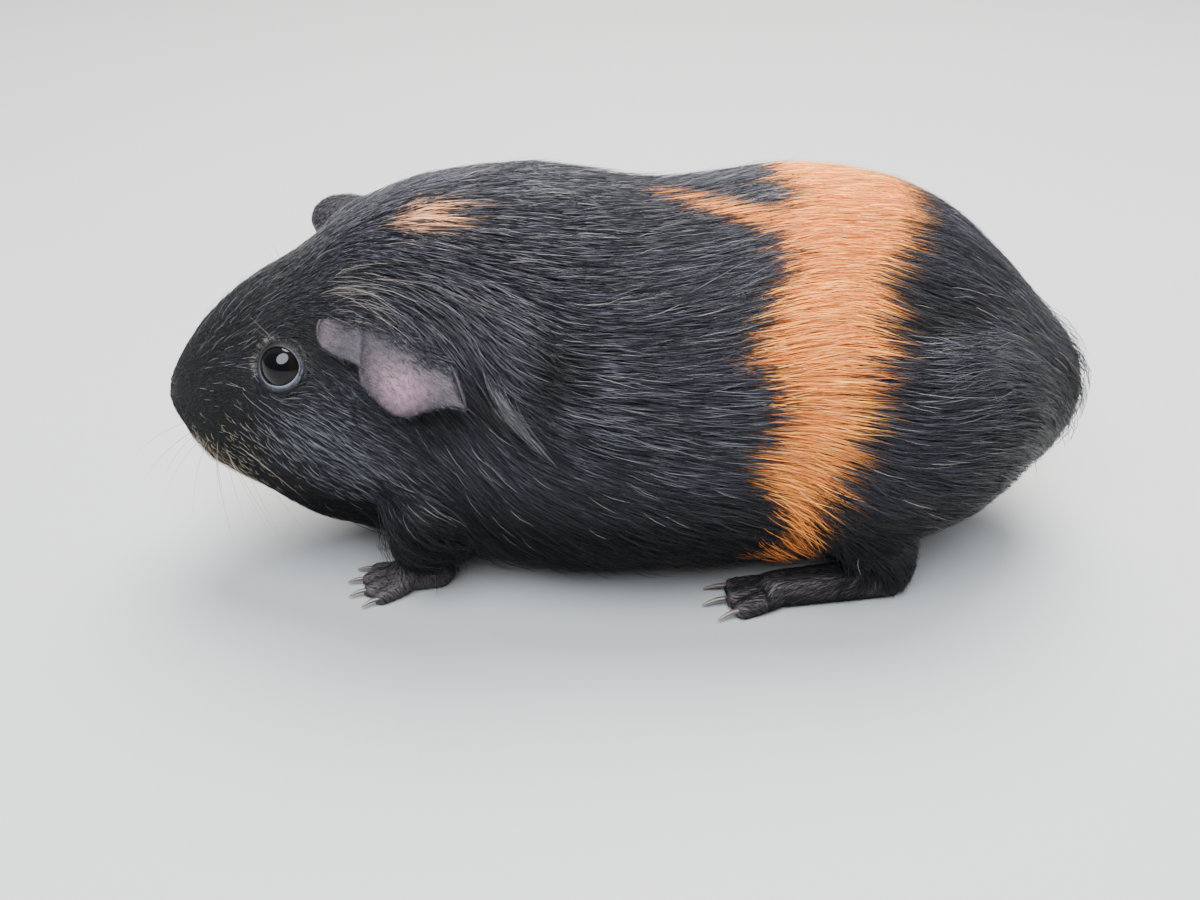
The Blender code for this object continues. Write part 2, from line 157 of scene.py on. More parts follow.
class Nodes:
    """Builds one material's nodes."""

    def __init__(self, name: str) -> None:
        """Starts a Principled material.

        Args:
            name: The material's name.
        """
        self.material = bpy.data.materials.new(name)
        self.material.use_nodes = True
        self.tree = self.material.node_tree
        self.shader = self.tree.nodes["Principled BSDF"]

    def node(self, kind: str, inputs: dict, output: int | str = 0, **settings: object) -> Sock:
        """Adds a node.

        Args:
            kind: Its type, without the first words that all shader nodes share.
            inputs: Values or links of its sockets, by name or index.
            output: The output wanted, by name or index.
            settings: Its properties, set first.

        Returns:
            The output.
        """
        made = self.tree.nodes.new(f"ShaderNode{kind}")
        for key, value in settings.items():
            setattr(made, key, value)
        for key, value in inputs.items():
            self.plug(made.inputs[key], value)
        return Sock(self, made.outputs[output])

    def plug(self, socket: bpy.types.NodeSocket, value: "Value | Colour") -> None:
        """Links a socket, or sets its value."""
        if isinstance(value, Sock):
            self.tree.links.new(value.socket, socket)
        elif isinstance(value, tuple) and socket.type == "RGBA":
            socket.default_value = (*value, 1.0)
        else:
            socket.default_value = value

    def math(self, operation: str, *values: Value, clamp: bool = False) -> Sock:
        """A Math node's result, kept between 0 and 1 where clamp is set."""
        return self.node("Math", dict(enumerate(values)), operation=operation, use_clamp=clamp)

    def most(self, *values: Value) -> Value:
        """The largest of some values."""
        return functools.reduce(lambda first, second: self.math("MAXIMUM", first, second), values)

    def vector(self, operation: str, first: Sock, second: "Sock | Colour") -> Sock:
        """A Vector Math node's vector result."""
        return self.node("VectorMath", {0: first, 1: second}, operation=operation)

    def parts(self, vector: Sock) -> tuple[Sock, Sock, Sock]:
        """The three parts of a vector."""
        made = self.node("SeparateXYZ", {0: vector}).socket.node
        return tuple(Sock(self, out) for out in made.outputs)

    def mix(self, factor: Value, first: "Sock | Colour", second: "Sock | Colour") -> Sock:
        """A blend of two colours, where the factor is the share of the second."""
        return self.node("Mix", {0: factor, 6: first, 7: second}, 2, data_type="RGBA")

    def noise(self, place: Sock, per_mm: float | Colour, detail: float = 2.0) -> Sock:
        """Smooth noise about 0.5.

        Args:
            place: Position in millimetres.
            per_mm: Waves to a millimetre, one number or one each for x, y and z.
            detail: Octaves of finer noise.

        Returns:
            The noise.
        """
        waves = per_mm if isinstance(per_mm, tuple) else (per_mm,) * 3
        scaled = self.vector("MULTIPLY", place, waves)
        return self.node("TexNoise", {"Vector": scaled, "Scale": 1.0, "Detail": detail})

    def curve(self, value: Sock, points: tuple[tuple[float, float], ...]) -> Sock:
        """A smooth curve through points whose ends lie at 0 and 1.

        Args:
            value: Where along the curve, from 0 to 1.
            points: The points of the curve, in order.

        Returns:
            The curve's height.
        """
        made = self.node("FloatCurve", {"Value": value})
        mapping = made.socket.node.mapping
        line = mapping.curves[0]
        line.points[0].location = points[0]
        line.points[1].location = points[-1]
        for point in points[1:-1]:
            line.points.new(*point)
        mapping.update()
        return made

    def place_mm(self, attribute: str = "") -> Sock:
        """Position in millimetres, from Object coordinates or a piece's own attribute."""
        if attribute:
            source = self.node("Attribute", {}, "Vector", attribute_name=attribute)
        else:
            source = self.node("TexCoord", {}, "Object")
        return self.vector("MULTIPLY", source, (1 / MM, 1 / MM, 1 / MM))

    def share(self, attribute: str) -> Sock:
        """A number that a piece carries at each point."""
        return self.node("Attribute", {}, "Fac", attribute_name=attribute)

    def bump(self, height: Value, depth_mm: float, strength: float) -> Sock:
        """A normal bumped by a height from 0 to 1."""
        inputs = {"Strength": strength, "Distance": depth_mm * MM, "Height": height}
        return self.node("Bump", inputs)

    def dress(self, inputs: dict) -> bpy.types.Material:
        """Sets the Principled shader's sockets and gives the material."""
        for key, value in inputs.items():
            self.plug(self.shader.inputs[key], value)
        return self.material


# ---- finishes


@dataclass(frozen=True)
class Markings:
    """Black coat with an orange band behind the middle and a small patch on the nape, with painted
    shade and painted sheen laid over it.
    """

    black: Colour = (0.0085, 0.0083, 0.0105)
    # Painted sheen: bluish grey on part of the black tufts, a painted reflection of light.
    blue: Colour = (0.050, 0.046, 0.064)
    orange: Colour = (1.0, 0.275, 0.026)
    pale_orange: Colour = (1.0, 0.44, 0.085)
    # Deeper orange of the hair's roots, also used as painted shade low on the band.
    deep_orange: Colour = (0.42, 0.095, 0.014)
    buff: Colour = (0.23, 0.16, 0.09)
    nape: Colour = (0.84, 0.46, 0.26)
    # Near-black that painted shade turns the coat towards; the face's darker velvety fur leans to
    # it too.
    dark: Colour = (0.0030, 0.0034, 0.0030)
    # Painted shade in creases and dents on both sides, behind the mane, behind the ear, above the
    # thigh and at the temple: middle and reach.
    painted_shades: tuple = (
        ((-26, 42, 72), (5, 10, 11)), ((-42, 43, 64), (6, 7, 8)), ((66, 38, 82), (10, 9, 6)),
        ((-84, 26, 76), (8, 8, 13)),
    )
    streak_start: float = -1.0  # front end of the streak, as x
    streak_length: float = 34.0
    patch_middle: tuple = (-52.0, -12.4, 99.6)
    patch_spread: tuple = (0.080, 0.14, 0.14)  # how fast the patch fades along x, y and z
    reach: float = 130.0  # the band's edges are given as shares of this length each way
    middle_z: float = 45.0  # height of the line that the band's angles turn about
    # Edges of the band: degrees round the body from the back, left side positive, and x.
    front: tuple = (
        (-180, 2), (-158, 4), (-135, 24), (-115, 38), (-90, 33), (-60, 27), (-30, 30), (-8, 33),
        (15, 31.5), (32, 28.6), (40, 26), (49, 21), (58, 21.8), (68, 27), (77, 24), (88, 22.6),
        (104, 29), (118, 29), (136, 14), (158, 3), (180, 2),
    )
    rear: tuple = (
        (-180, 22), (-158, 26), (-135, 40), (-115, 50), (-90, 54), (-60, 57), (-30, 63), (3, 66),
        (25, 58), (40, 51.5), (50, 51), (60, 48.5), (69, 46.5), (78, 44.5), (90, 41), (110, 37.5),
        (125, 35), (140, 30), (158, 24), (180, 22),
    )


class Paint:
    """The markings, painted shade and painted sheen included, as they fall on the points of one
    material, each as a share from 0 to 1.
    """

    def __init__(self, nodes: Nodes, place: Sock, marks: Markings) -> None:
        """Reads where each point lies.

        Args:
            nodes: The material's node builder.
            place: Position in millimetres.
            marks: The markings.
        """
        self.nodes = nodes
        self.place = place
        self.marks = marks
        self.x, self.y, self.z = nodes.parts(place)

    def edge(self, turn: Sock, line: tuple) -> Sock:
        """An edge's x in millimetres, at a share of the way round the body.

        Args:
            turn: The share of the way round.
            line: The edge's degrees and x.

        Returns:
            The edge's x.
        """
        width = 2 * self.marks.reach
        points = tuple(((degrees + 180) / 360, 0.5 + x / width) for degrees, x in line)
        return (self.nodes.curve(turn, points) - 0.5) * width

    def band(self) -> Sock:
        """The orange band, with edges that fray along the hair.

        Returns:
            The share of orange.
        """
        angle = self.nodes.math("ARCTAN2", -self.y, self.z - self.marks.middle_z)
        turn = angle / (2 * math.pi) + 0.5
        streaks = (self.nodes.noise(self.place, (0.07, 0.85, 0.85), 1.0) - 0.5) * 11.0
        drift = (self.nodes.noise(self.place, (0.05, 0.12, 0.12), 1.0) - 0.5) * 7.0
        x = self.x + streaks + drift
        behind = (x - self.edge(turn, self.marks.front)).step(-0.6, 0.6)
        before = (self.edge(turn, self.marks.rear) - x).step(-0.6, 0.6)
        foot = self.z.step(17, 11) * abs(self.y).step(23, 27)
        return behind * before * (1 - foot)

    def streak(self) -> Sock:
        """The thin streak that runs forward from the band along the back.

        Returns:
            The share of orange.
        """
        along = (self.x - self.marks.streak_start) / self.marks.streak_length
        middle = along * -23.0 - 0.2
        off = abs(self.y - middle + (self.nodes.noise(self.place, (0.1, 1.1, 1.1)) - 0.5) * 2.4)
        inside = (along.clamped() * 3.4 + 0.85 - off).step(-0.7, 0.7)
        return inside * along.step(-0.02, 0.03) * along.step(1.15, 1.0) * self.z.step(80, 88)

    def patch(self) -> Sock:
        """The small broken patch on the nape behind the left ear.

        Returns:
            The share of orange.
        """
        off = self.nodes.vector("SUBTRACT", self.place, self.marks.patch_middle)
        spread = self.nodes.vector("MULTIPLY", off, self.marks.patch_spread)
        near = self.nodes.node("VectorMath", {0: spread}, "Value", operation="LENGTH")
        strands = self.nodes.noise(self.place, (0.10, 1.4, 1.4), 1.0)
        return (strands - near * 0.38).step(0.24, 0.38)

    def orange(self) -> Sock:
        """Band, streak and patch together."""
        return self.nodes.most(self.band(), self.streak(), self.patch() * 0.9)

    def painted_shade(self) -> Sock:
        """Painted shade in creases and dents on both sides.

        Returns:
            The share of shade.
        """
        place = self.x, abs(self.y), self.z
        total: Value = 0.0
        for middle, reach in self.marks.painted_shades:
            off = [(part - at) / wide for part, at, wide in zip(place, middle, reach, strict=True)]
            square = off[0] * off[0] + off[1] * off[1] + off[2] * off[2]
            total = square.step(1.5, 0.2) + total
        return total.clamped()

    def low_rump(self) -> Sock:
        """Painted shade on the low part of the rump."""
        return self.x.step(66, 98) * self.z.step(66, 46)

    def colour(self, tip: Value, share: Sock) -> Sock:
        """The coat's colour, with painted shade and painted sheen in it.

        Args:
            tip: How far out along a hair, from 0 to 1.
            share: How far each point is orange, from 0 to 1.

        Returns:
            The colour.
        """
        marks, mix, x, z = self.marks, self.nodes.mix, self.x, self.z
        grain = self.nodes.noise(self.place, 1.6, 1.0)
        orange = mix(grain.step(0.36, 0.62), marks.orange, marks.pale_orange)
        orange = mix((1 - tip) * 0.75 * grain.step(0.7, 0.3), orange, marks.deep_orange)
        # Painted shade: the orange deepens towards the bottom of the body.
        orange = mix(z.step(50, 16) * 0.68, orange, marks.deep_orange)
        orange = mix(x.step(-34, -42) * 0.78, orange, marks.nape)
        # Painted shade low on the body and on the low rump; velvet is the face's own darker,
        # shorter fur.
        velvet, painted_belly_shade, rump = x.step(-62, -96), z.step(48, 24) * 0.8, self.low_rump() * 0.85
        # Painted sheen on part of the tufts, less of it on the face.
        black = mix(grain.step(0.44, 0.66) * (1 - velvet * 0.7), marks.black, marks.blue)
        # Painted shade on belly, low rump and creases, with the face's darker fur, darkens the
        # black.
        shade = self.nodes.most(velvet * 0.6, painted_belly_shade, rump, self.painted_shade() * 0.9)
        black = mix(shade, black, marks.dark)
        flecks = self.nodes.noise(self.place, 1.5).step(0.45, 0.6)
        lips = x.step(-104, -113) * z.step(47, 39) * flecks
        return mix(share, mix(lips * 0.7, black, marks.buff), orange)


@dataclass(frozen=True)
class CoatFinish:
    """Smooth glossy hair, coloured by where each tuft lies."""

    markings: Markings = Markings()

    def make(self) -> bpy.types.Material:
        """The hair's material.

        Returns:
            The material.
        """
        nodes = Nodes("coat_hair")
        place = nodes.place_mm("spot")
        paint = Paint(nodes, place, self.markings)
        orange = paint.orange()
        soft = nodes.most(paint.x.step(-70, -98), paint.z.step(46, 24), paint.painted_shade())
        # Metal of a near-black colour reflects little, so this dulls the muzzle, and dulls belly
        # and low rump as painted shade.
        muzzle, painted_belly_shade = paint.x.step(-84, -108) * 0.5, paint.z.step(50, 24) * 0.6
        dull = nodes.most(muzzle, painted_belly_shade, paint.low_rump() * 0.4)
        rough = nodes.noise(place, 0.5, 1.0) * 0.14 + 0.30
        return nodes.dress(
            {
                "Base Color": paint.colour(nodes.share("tip"), orange),
                "Metallic": dull * (1 - orange),
                "Roughness": rough + orange * 0.30 + soft * 0.25,
                "Specular IOR Level": 0.36,
                "Sheen Weight": 0.03,
                "Sheen Roughness": 0.4,
            }
        )


@dataclass(frozen=True)
class SkinFinish:
    """Short under-fur streaked along the lie of the coat, and bare skin on nose and soles."""

    markings: Markings = Markings()
    bare: Colour = (0.042, 0.033, 0.035)
    under_fur: Colour = (0.008, 0.006, 0.006)

    def make(self) -> bpy.types.Material:
        """The skin's material.

        Returns:
            The material.
        """
        nodes = Nodes("skin")
        place = nodes.place_mm()
        bare = nodes.share("bare")
        streaks = nodes.noise(place, (0.22, 1.9, 1.9))
        creases = nodes.noise(place, 1.4, 3.0)
        paint = Paint(nodes, place, self.markings)
        # Under-fur in the coat's colours, its painted shade and painted sheen included.
        coat = nodes.mix(0.45, paint.colour(0.2, paint.orange()), self.under_fur)
        height = streaks * (1 - bare) + creases * bare * 0.6
        return nodes.dress(
            {
                "Base Color": nodes.mix(bare, coat, self.bare),
                "Roughness": 0.62 - bare * 0.15 + creases * 0.1,
                "Normal": nodes.bump(height, 0.5, 0.8),
                "Specular IOR Level": 0.25,
            }
        )


@dataclass(frozen=True)
class EarFinish:
    """Thin, nearly bare ear skin: grey-pink, mottled, darker at rim and root."""

    pink: Colour = (0.158, 0.093, 0.115)
    grey: Colour = (0.017, 0.014, 0.018)

    def make(self) -> bpy.types.Material:
        """The ear's material.

        Returns:
            The material.
        """
        nodes = Nodes("ear_skin")
        place = nodes.place_mm()
        glow = nodes.share("glow")
        mottle = nodes.noise(place, 0.55, 3.0)
        grain = nodes.noise(place, 3.0)
        share = (glow + (mottle - 0.5) * (0.45 + glow * 0.9) + (grain - 0.5) * 0.5).clamped()
        return nodes.dress(
            {
                "Base Color": nodes.mix(share, self.grey, self.pink),
                "Roughness": 0.5 + grain * 0.15,
                "Normal": nodes.bump(grain + mottle * 0.6, 0.16, 0.6),
                "Specular IOR Level": 0.16,
                "Subsurface Weight": 0.12,
                "Subsurface Scale": 0.002,
            }
        )


@dataclass(frozen=True)
class LidFinish:
    """Moist bare lid skin, grey with a paler crest, whose paleness also holds painted light:
    brighter below the eye, darker above.
    """

    dark: Colour = (0.0050, 0.0046, 0.0046)
    pale: Colour = (0.122, 0.127, 0.155)

    def make(self) -> bpy.types.Material:
        """The lid's material.

        Returns:
            The material.
        """
        nodes = Nodes("lid_skin")
        place = nodes.place_mm()
        grain = nodes.noise(place, 2.2)
        crest = nodes.share("crest")
        return nodes.dress(
            {
                "Base Color": nodes.mix(crest * (0.45 + grain * 0.8), self.dark, self.pale),
                "Roughness": 0.6 + grain * 0.1,
                "Specular IOR Level": 0.07,
                "Coat Weight": crest.step(0.55, 0.95) * 0.35,
                "Coat Roughness": 0.28,
                "Normal": nodes.bump(grain, 0.2, 0.8),
            }
        )


@dataclass(frozen=True)
class EyeFinish:
    """Dark brown eye under a wet clear surface."""

    pupil: Colour = (0.0015, 0.0015, 0.002)
    iris: Colour = (0.0045, 0.0032, 0.0028)

    def make(self) -> bpy.types.Material:
        """The eye's material.

        Returns:
            The material.
        """
        nodes = Nodes("eye_wet")
        ring = nodes.share("ring")
        fleck = nodes.noise(nodes.place_mm(), 1.2)
        iris = ring.step(0.45, 0.6) * (0.5 + fleck * 0.5) * ring.step(1.0, 0.85)
        return nodes.dress(
            {
                "Base Color": nodes.mix(iris, self.pupil, self.iris),
                "Roughness": 0.03 + fleck * 0.015,
                "Specular IOR Level": 0.2,
            }
        )


@dataclass(frozen=True)
class ClawFinish:
    """Dark horn, paler and clearer towards the tip."""

    root: Colour = (0.050, 0.036, 0.030)
    tip: Colour = (0.16, 0.12, 0.095)

    def make(self) -> bpy.types.Material:
        """The claw's material.

        Returns:
            The material.
        """
        nodes = Nodes("claw_horn")
        place = nodes.place_mm()
        grain = nodes.noise(place, (0.6, 5.0, 5.0))
        paleness = nodes.share("tip") * (0.5 + grain * 0.7)
        return nodes.dress(
            {
                "Base Color": nodes.mix(paleness, self.root, self.tip),
                "Roughness": 0.28 + grain * 0.12,
                "Normal": nodes.bump(grain, 0.06, 0.5),
            }
        )


@dataclass(frozen=True)
class HairFinish:
    """Single hairs of one colour, a little varied."""

    name: str
    colour: Colour
    other: Colour
    roughness: float = 0.4

    def make(self) -> bpy.types.Material:
        """The hair's material.

        Returns:
            The material.
        """
        nodes = Nodes(self.name)
        shade = nodes.noise(nodes.place_mm("spot"), 0.9, 1.0).step(0.35, 0.65)
        return nodes.dress(
            {
                "Base Color": nodes.mix(shade, self.colour, self.other),
                "Roughness": self.roughness,
            }
        )


FINE_HAIRS = (
    HairFinish("hair_fuzz", (0.085, 0.070, 0.080), (0.032, 0.027, 0.032)),
    HairFinish("hair_lash", (0.17, 0.15, 0.115), (0.10, 0.092, 0.080)),
    HairFinish("hair_whisker", (0.05, 0.045, 0.04), (0.30, 0.26, 0.20), 0.25),
    HairFinish("hair_lock", (0.070, 0.067, 0.073), (0.15, 0.142, 0.148)),
)


@dataclass(frozen=True)
class FloorFinish:
    """Plain pale matt floor that fades into the room's colour far away."""

    colour: Colour = (0.28, 0.278, 0.274)
    room: Colour = (0.155, 0.162, 0.173)
    fade: tuple[float, float] = (800.0, 2300.0)

    def make(self) -> bpy.types.Material:
        """The floor's material.

        Returns:
            The material.
        """
        nodes = Nodes("studio_floor")
        place = nodes.place_mm()
        x, y, _ = nodes.parts(place)
        far = nodes.math("SQRT", x * x + y * y).step(*self.fade)
        cloud = nodes.noise(place, 0.004)
        made = nodes.dress(
            {
                "Base Color": nodes.mix(cloud * 0.08, self.colour, (0.5, 0.5, 0.5)),
                "Roughness": 0.8 + cloud * 0.05,
                "Emission Color": nodes.mix(far, (0.0, 0.0, 0.0), self.room),
                "Emission Strength": 1.0,
            }
        )
        made.cycles.emission_sampling = "NONE"
        return made


# ---- array maths


def rise(values: Points, low: float, high: float) -> Points:
    """Smooth steps from 0 to 1 between two levels, or from 1 to 0 where high is the lower one."""
    share = np.clip((values - low) / (high - low), 0, 1)
    return share * share * (3 - 2 * share)


def unit(vectors: Points) -> Points:
    """Vectors brought to length 1."""
    return vectors / np.maximum(np.linalg.norm(vectors, axis=-1, keepdims=True), 1e-9)


def dot(first: Points, second: Points) -> Points:
    """Row-wise dot products, kept as columns."""
    return (first * second).sum(-1, keepdims=True)


def hump(values: Points, width: float) -> Points:
    """A smooth rise to 1 at 0, which falls off with this width on both sides."""
    return np.exp(-((values / width) ** 2))


def left_side(places: Points) -> Points:
    """Places, with those of the right side mirrored to the left."""
    return places * (1, 0, 1) - np.abs(places) * (0, 1, 0)


def nearness(places: Points, middle: Points, reach: Points | float) -> Points:
    """1 at a middle, falling off with a reach along each axis."""
    return np.exp(-(((places - np.array(middle)) / np.array(reach)) ** 2).sum(1))


def turned(ways: Points, normals: Points, angles: Points) -> Points:
    """Ways in a surface, turned about its normals by angles in radians."""
    angles = angles[:, None]
    return ways * np.cos(angles) + np.cross(normals, ways) * np.sin(angles)


def catmull(points: Points, shares: Points) -> Points:
    """Points on a smooth line through rows of (share, x, y, z), at some shares of its length.

    Args:
        points: Rows of share, x, y and z.
        shares: Where along the line, from 0 to 1.

    Returns:
        The points.
    """
    stops, places = points[:, 0], points[:, 1:]
    slopes = np.gradient(places, stops, axis=0)
    index = np.clip(np.searchsorted(stops, shares, "right") - 1, 0, len(stops) - 2)
    span = (stops[index + 1] - stops[index])[:, None]
    t = (shares - stops[index])[:, None] / span
    first, last = places[index], places[index + 1]
    return (
        (2 * t**3 - 3 * t**2 + 1) * first
        + (t**3 - 2 * t**2 + t) * span * slopes[index]
        + (3 * t**2 - 2 * t**3) * last
        + (t**3 - t**2) * span * slopes[index + 1]
    )


class Ripple:
    """Smooth random variation over space, the same at each run."""

    def __init__(self, size: float, seed: int, waves: int = 20) -> None:
        """Picks the waves.

        Args:
            size: Usual wavelength in millimetres.
            seed: Seed of the random waves.
            waves: Number of waves.
        """
        rng = np.random.default_rng(seed)
        self.ways = unit(rng.normal(size=(waves, 3))) * (2 * math.pi / size)
        self.ways *= rng.uniform(0.6, 1.5, (waves, 1))
        self.shift = rng.uniform(0, 2 * math.pi, waves)

    def at(self, places: Points) -> Points:
        """The variation at places, mostly between -1 and 1."""
        return np.sin(places @ self.ways.T + self.shift).sum(1) / math.sqrt(len(self.shift))


class Surface:
    """Points, faces and normals of meshes, in millimetres, with a search tree."""

    def __init__(self, *things: Thing) -> None:
        """Reads some objects.

        Args:
            things: Mesh objects at the origin.
        """
        points, normals, faces, start = [], [], [], 0
        for thing in things:
            mesh = thing.data
            mesh.calc_loop_triangles()
            points.append(places_of(thing))
            normals.append(normals_of(thing))
            corners = np.zeros(len(mesh.loop_triangles) * 3, np.int32)
            mesh.loop_triangles.foreach_get("vertices", corners)
            faces.append(corners.reshape(-1, 3) + start)
            start += len(mesh.vertices)
        self.points = np.concatenate(points)
        self.normals = np.concatenate(normals)
        self.faces = np.concatenate(faces)
        self.tree = BVHTree.FromPolygons(self.points.tolist(), self.faces.tolist())

    def nearest(self, places: Points) -> tuple[Points, Points]:
        """The nearest points of the surface and its smooth normals there.

        Args:
            places: Places in millimetres.

        Returns:
            Spots on the surface, and normals there.
        """
        find = self.tree.find_nearest
        found = [find(place) for place in places.tolist()]
        spots = np.array([hit[0][:] for hit in found])
        return spots, self.normals_at(spots, np.array([hit[2] for hit in found]))

    def normals_at(self, spots: Points, index: Points) -> Points:
        """Smooth normals at spots on faces.

        Args:
            spots: Places on the surface.
            index: The face that each lies on.

        Returns:
            The normals.
        """
        a, b, c = (self.points[self.faces[index, k]] for k in range(3))
        whole = np.linalg.norm(np.cross(b - a, c - a), axis=1) + 1e-12
        at_a = np.linalg.norm(np.cross(b - spots, c - spots), axis=1) / whole
        at_b = np.linalg.norm(np.cross(c - spots, a - spots), axis=1) / whole
        weights = np.stack([at_a, at_b, np.clip(1 - at_a - at_b, 0, 1)], 1)
        return unit((self.normals[self.faces[index]] * weights[:, :, None]).sum(1))

    def sample(self, per_mm2: Points, seed: int) -> tuple[Points, Points]:
        """Random points all over the surface.

        Args:
            per_mm2: Points wanted to a square millimetre, for each face.
            seed: Seed of the random choice.

        Returns:
            The points and the smooth normals there.
        """
        rng = np.random.default_rng(seed)
        a, b, c = (self.points[self.faces[:, k]] for k in range(3))
        area = np.linalg.norm(np.cross(b - a, c - a), axis=1) / 2
        wanted = np.cumsum(area * per_mm2)
        count = int(wanted[-1])
        index = np.searchsorted(wanted, np.arange(count) + rng.random(count))
        index = np.minimum(index, len(self.faces) - 1)
        u, v = rng.random((2, count, 1))
        over = u + v > 1
        u, v = np.where(over, 1 - u, u), np.where(over, 1 - v, v)
        spots = a[index] * (1 - u - v) + b[index] * u + c[index] * v
        return spots, self.normals_at(spots, index)

    def middles(self) -> Points:
        """The middle of each face."""
        return self.points[self.faces].mean(1)

    def along(self, start: Points, way: Points) -> Points | None:
        """Where a line first meets the surface."""
        hit = self.tree.ray_cast(Vector(start), Vector(way))[0]
        return None if hit is None else np.array(hit[:])


def read(items: bpy.types.bpy_prop_collection, name: str, width: int) -> Points:
    """A property of all items of a mesh, as rows.

    Args:
        items: A mesh's vertices, faces or attribute data.
        name: The property.
        width: Numbers in each.

    Returns:
        The rows.
    """
    values = np.zeros(len(items) * width, np.float32)
    items.foreach_get(name, values)
    return values.reshape(-1, width).astype(float)


def places_of(thing: Thing) -> Points:
    """The places of a mesh's points, in millimetres."""
    return read(thing.data.vertices, "co", 3) / MM


def normals_of(thing: Thing) -> Points:
    """The normals at a mesh's points."""
    return read(thing.data.vertices, "normal", 3)


def write_points(thing: Thing, points: Points) -> None:
    """Moves a mesh's points to places in millimetres."""
    thing.data.vertices.foreach_set("co", (points * MM).astype(np.float32).ravel())
    thing.data.update()


def push_out(thing: Thing, push: Points) -> None:
    """Moves a mesh's points along their normals, but not below the floor.

    Args:
        thing: The mesh's object.
        push: How far each point moves, in millimetres.
    """
    points = places_of(thing) + normals_of(thing) * push[:, None]
    points[:, 2] = np.maximum(points[:, 2], 0.0)
    write_points(thing, points)


def add(name: str, data: bpy.types.ID) -> Thing:
    """Adds an object to the scene.

    Args:
        name: Its name.
        data: Its mesh, light or camera.

    Returns:
        The object.
    """
    made = bpy.data.objects.new(name, data)
    bpy.context.scene.collection.objects.link(made)
    return made


def choose(*things: Thing) -> None:
    """Makes these objects the selected ones, the first of them active."""
    bpy.ops.object.select_all(action="DESELECT")
    for thing in things:
        thing.select_set(True)
    bpy.context.view_layer.objects.active = things[0]


def apply(thing: Thing, kind: str, **settings: object) -> None:
    """Adds a modifier and applies it.

    Args:
        thing: The object.
        kind: The modifier's type.
        settings: The modifier's properties.
    """
    choose(thing)
    modifier = thing.modifiers.new(kind.lower(), kind)
    for key, value in settings.items():
        setattr(modifier, key, value)
    bpy.ops.object.modifier_apply(modifier=modifier.name)


def edit(thing: Thing, action: Callable, **settings: object) -> None:
    """Runs an edit operator on the whole of a mesh.

    Args:
        thing: The mesh's object.
        action: The operator.
        settings: The operator's properties.
    """
    choose(thing)
    bpy.ops.object.mode_set(mode="EDIT")
    bpy.ops.mesh.select_all(action="SELECT")
    action(**settings)
    bpy.ops.object.mode_set(mode="OBJECT")


def edit_part(thing: Thing, chosen: Points, action: Callable, **settings: object) -> None:
    """Runs an edit operator on the faces among some points of a mesh.

    Args:
        thing: The mesh's object.
        chosen: True for each of these points.
        action: The operator.
        settings: The operator's properties.
    """
    choose(thing)
    bpy.ops.object.mode_set(mode="EDIT")
    bpy.ops.mesh.select_mode(type="VERT")
    bpy.ops.mesh.select_all(action="DESELECT")
    bpy.ops.object.mode_set(mode="OBJECT")
    thing.data.vertices.foreach_set("select", chosen)
    bpy.ops.object.mode_set(mode="EDIT")
    bpy.ops.mesh.select_mode(type="FACE")
    action(**settings)
    bpy.ops.object.mode_set(mode="OBJECT")


def welded_copy(source: Thing, name: str) -> Thing:
    """A copy of a CAD node whose facets share their corners.

    Args:
        source: The node.
        name: The copy's name.

    Returns:
        The copy.
    """
    made = add(name, source.data.copy())
    edit(made, bpy.ops.mesh.remove_doubles, threshold=WELD * MM)
    return made


def carry(thing: Thing, name: str, values: Points) -> None:
    """Gives a mesh a number or a vector at each point.

    Args:
        thing: The mesh's object.
        name: The attribute's name.
        values: One row a point.
    """
    kind, key = ("FLOAT_VECTOR", "vector") if values.ndim == 2 else ("FLOAT", "value")
    attribute = thing.data.attributes.new(name, kind, "POINT")
    attribute.data.foreach_set(key, values.astype(np.float32).ravel())


def sheet_object(name: str, rows: Points) -> Thing:
    """A grid whose points are moved to rows of places.

    Args:
        name: The object's name.
        rows: Places in millimetres, as rows of columns.

    Returns:
        The object.
    """
    bpy.ops.object.select_all(action="DESELECT")
    down, across = rows.shape[0] - 1, rows.shape[1] - 1
    bpy.ops.mesh.primitive_grid_add(x_subdivisions=across, y_subdivisions=down, size=MM)
    return take_new(name, rows.reshape(-1, 3))


def ring_object(name: str, rows: Points) -> Thing:
    """A torus whose points are moved to rings of places.

    Args:
        name: The object's name.
        rows: Places in millimetres, as rings, one for each step round the torus's wall.

    Returns:
        The object.
    """
    bpy.ops.object.select_all(action="DESELECT")
    bpy.ops.mesh.primitive_torus_add(
        major_segments=rows.shape[1],
        minor_segments=rows.shape[0],
        major_radius=MM,
        minor_radius=MM / 4,
    )
    return take_new(name, rows.swapaxes(0, 1).reshape(-1, 3))


def take_new(name: str, points: Points) -> Thing:
    """Names the object just added, and moves its points.

    Args:
        name: Its name.
        points: The places of its points, in millimetres.

    Returns:
        The object.
    """
    made = bpy.context.object
    made.name = name
    write_points(made, points)
    return made


def round_off(thing: Thing) -> None:
    """Subdivides a closed mesh once, turns its faces outwards and shades it smooth.

    Args:
        thing: The mesh's object.
    """
    apply(thing, "SUBSURF", levels=1, render_levels=1)
    edit(thing, bpy.ops.mesh.normals_make_consistent, inside=False)
    thing.data.shade_smooth()


def hand_in(thing: Thing, finish: bpy.types.Material, slot: Slot, *nodes: str) -> Thing:
    """Dresses a finished piece and lets it stand for its CAD nodes.

    Args:
        thing: The piece.
        finish: Its material.
        slot: The record's material slot; not used.
        nodes: The CAD nodes it replaces.

    Returns:
        The piece.
    """
    thing.data.materials.clear()
    thing.data.materials.append(finish)
    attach(thing, "root")
    if nodes:
        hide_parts(*nodes)
    LOG.info("%s: %d triangles", thing.name, sum(len(p.vertices) - 2 for p in thing.data.polygons))
    return thing


# ---- skin


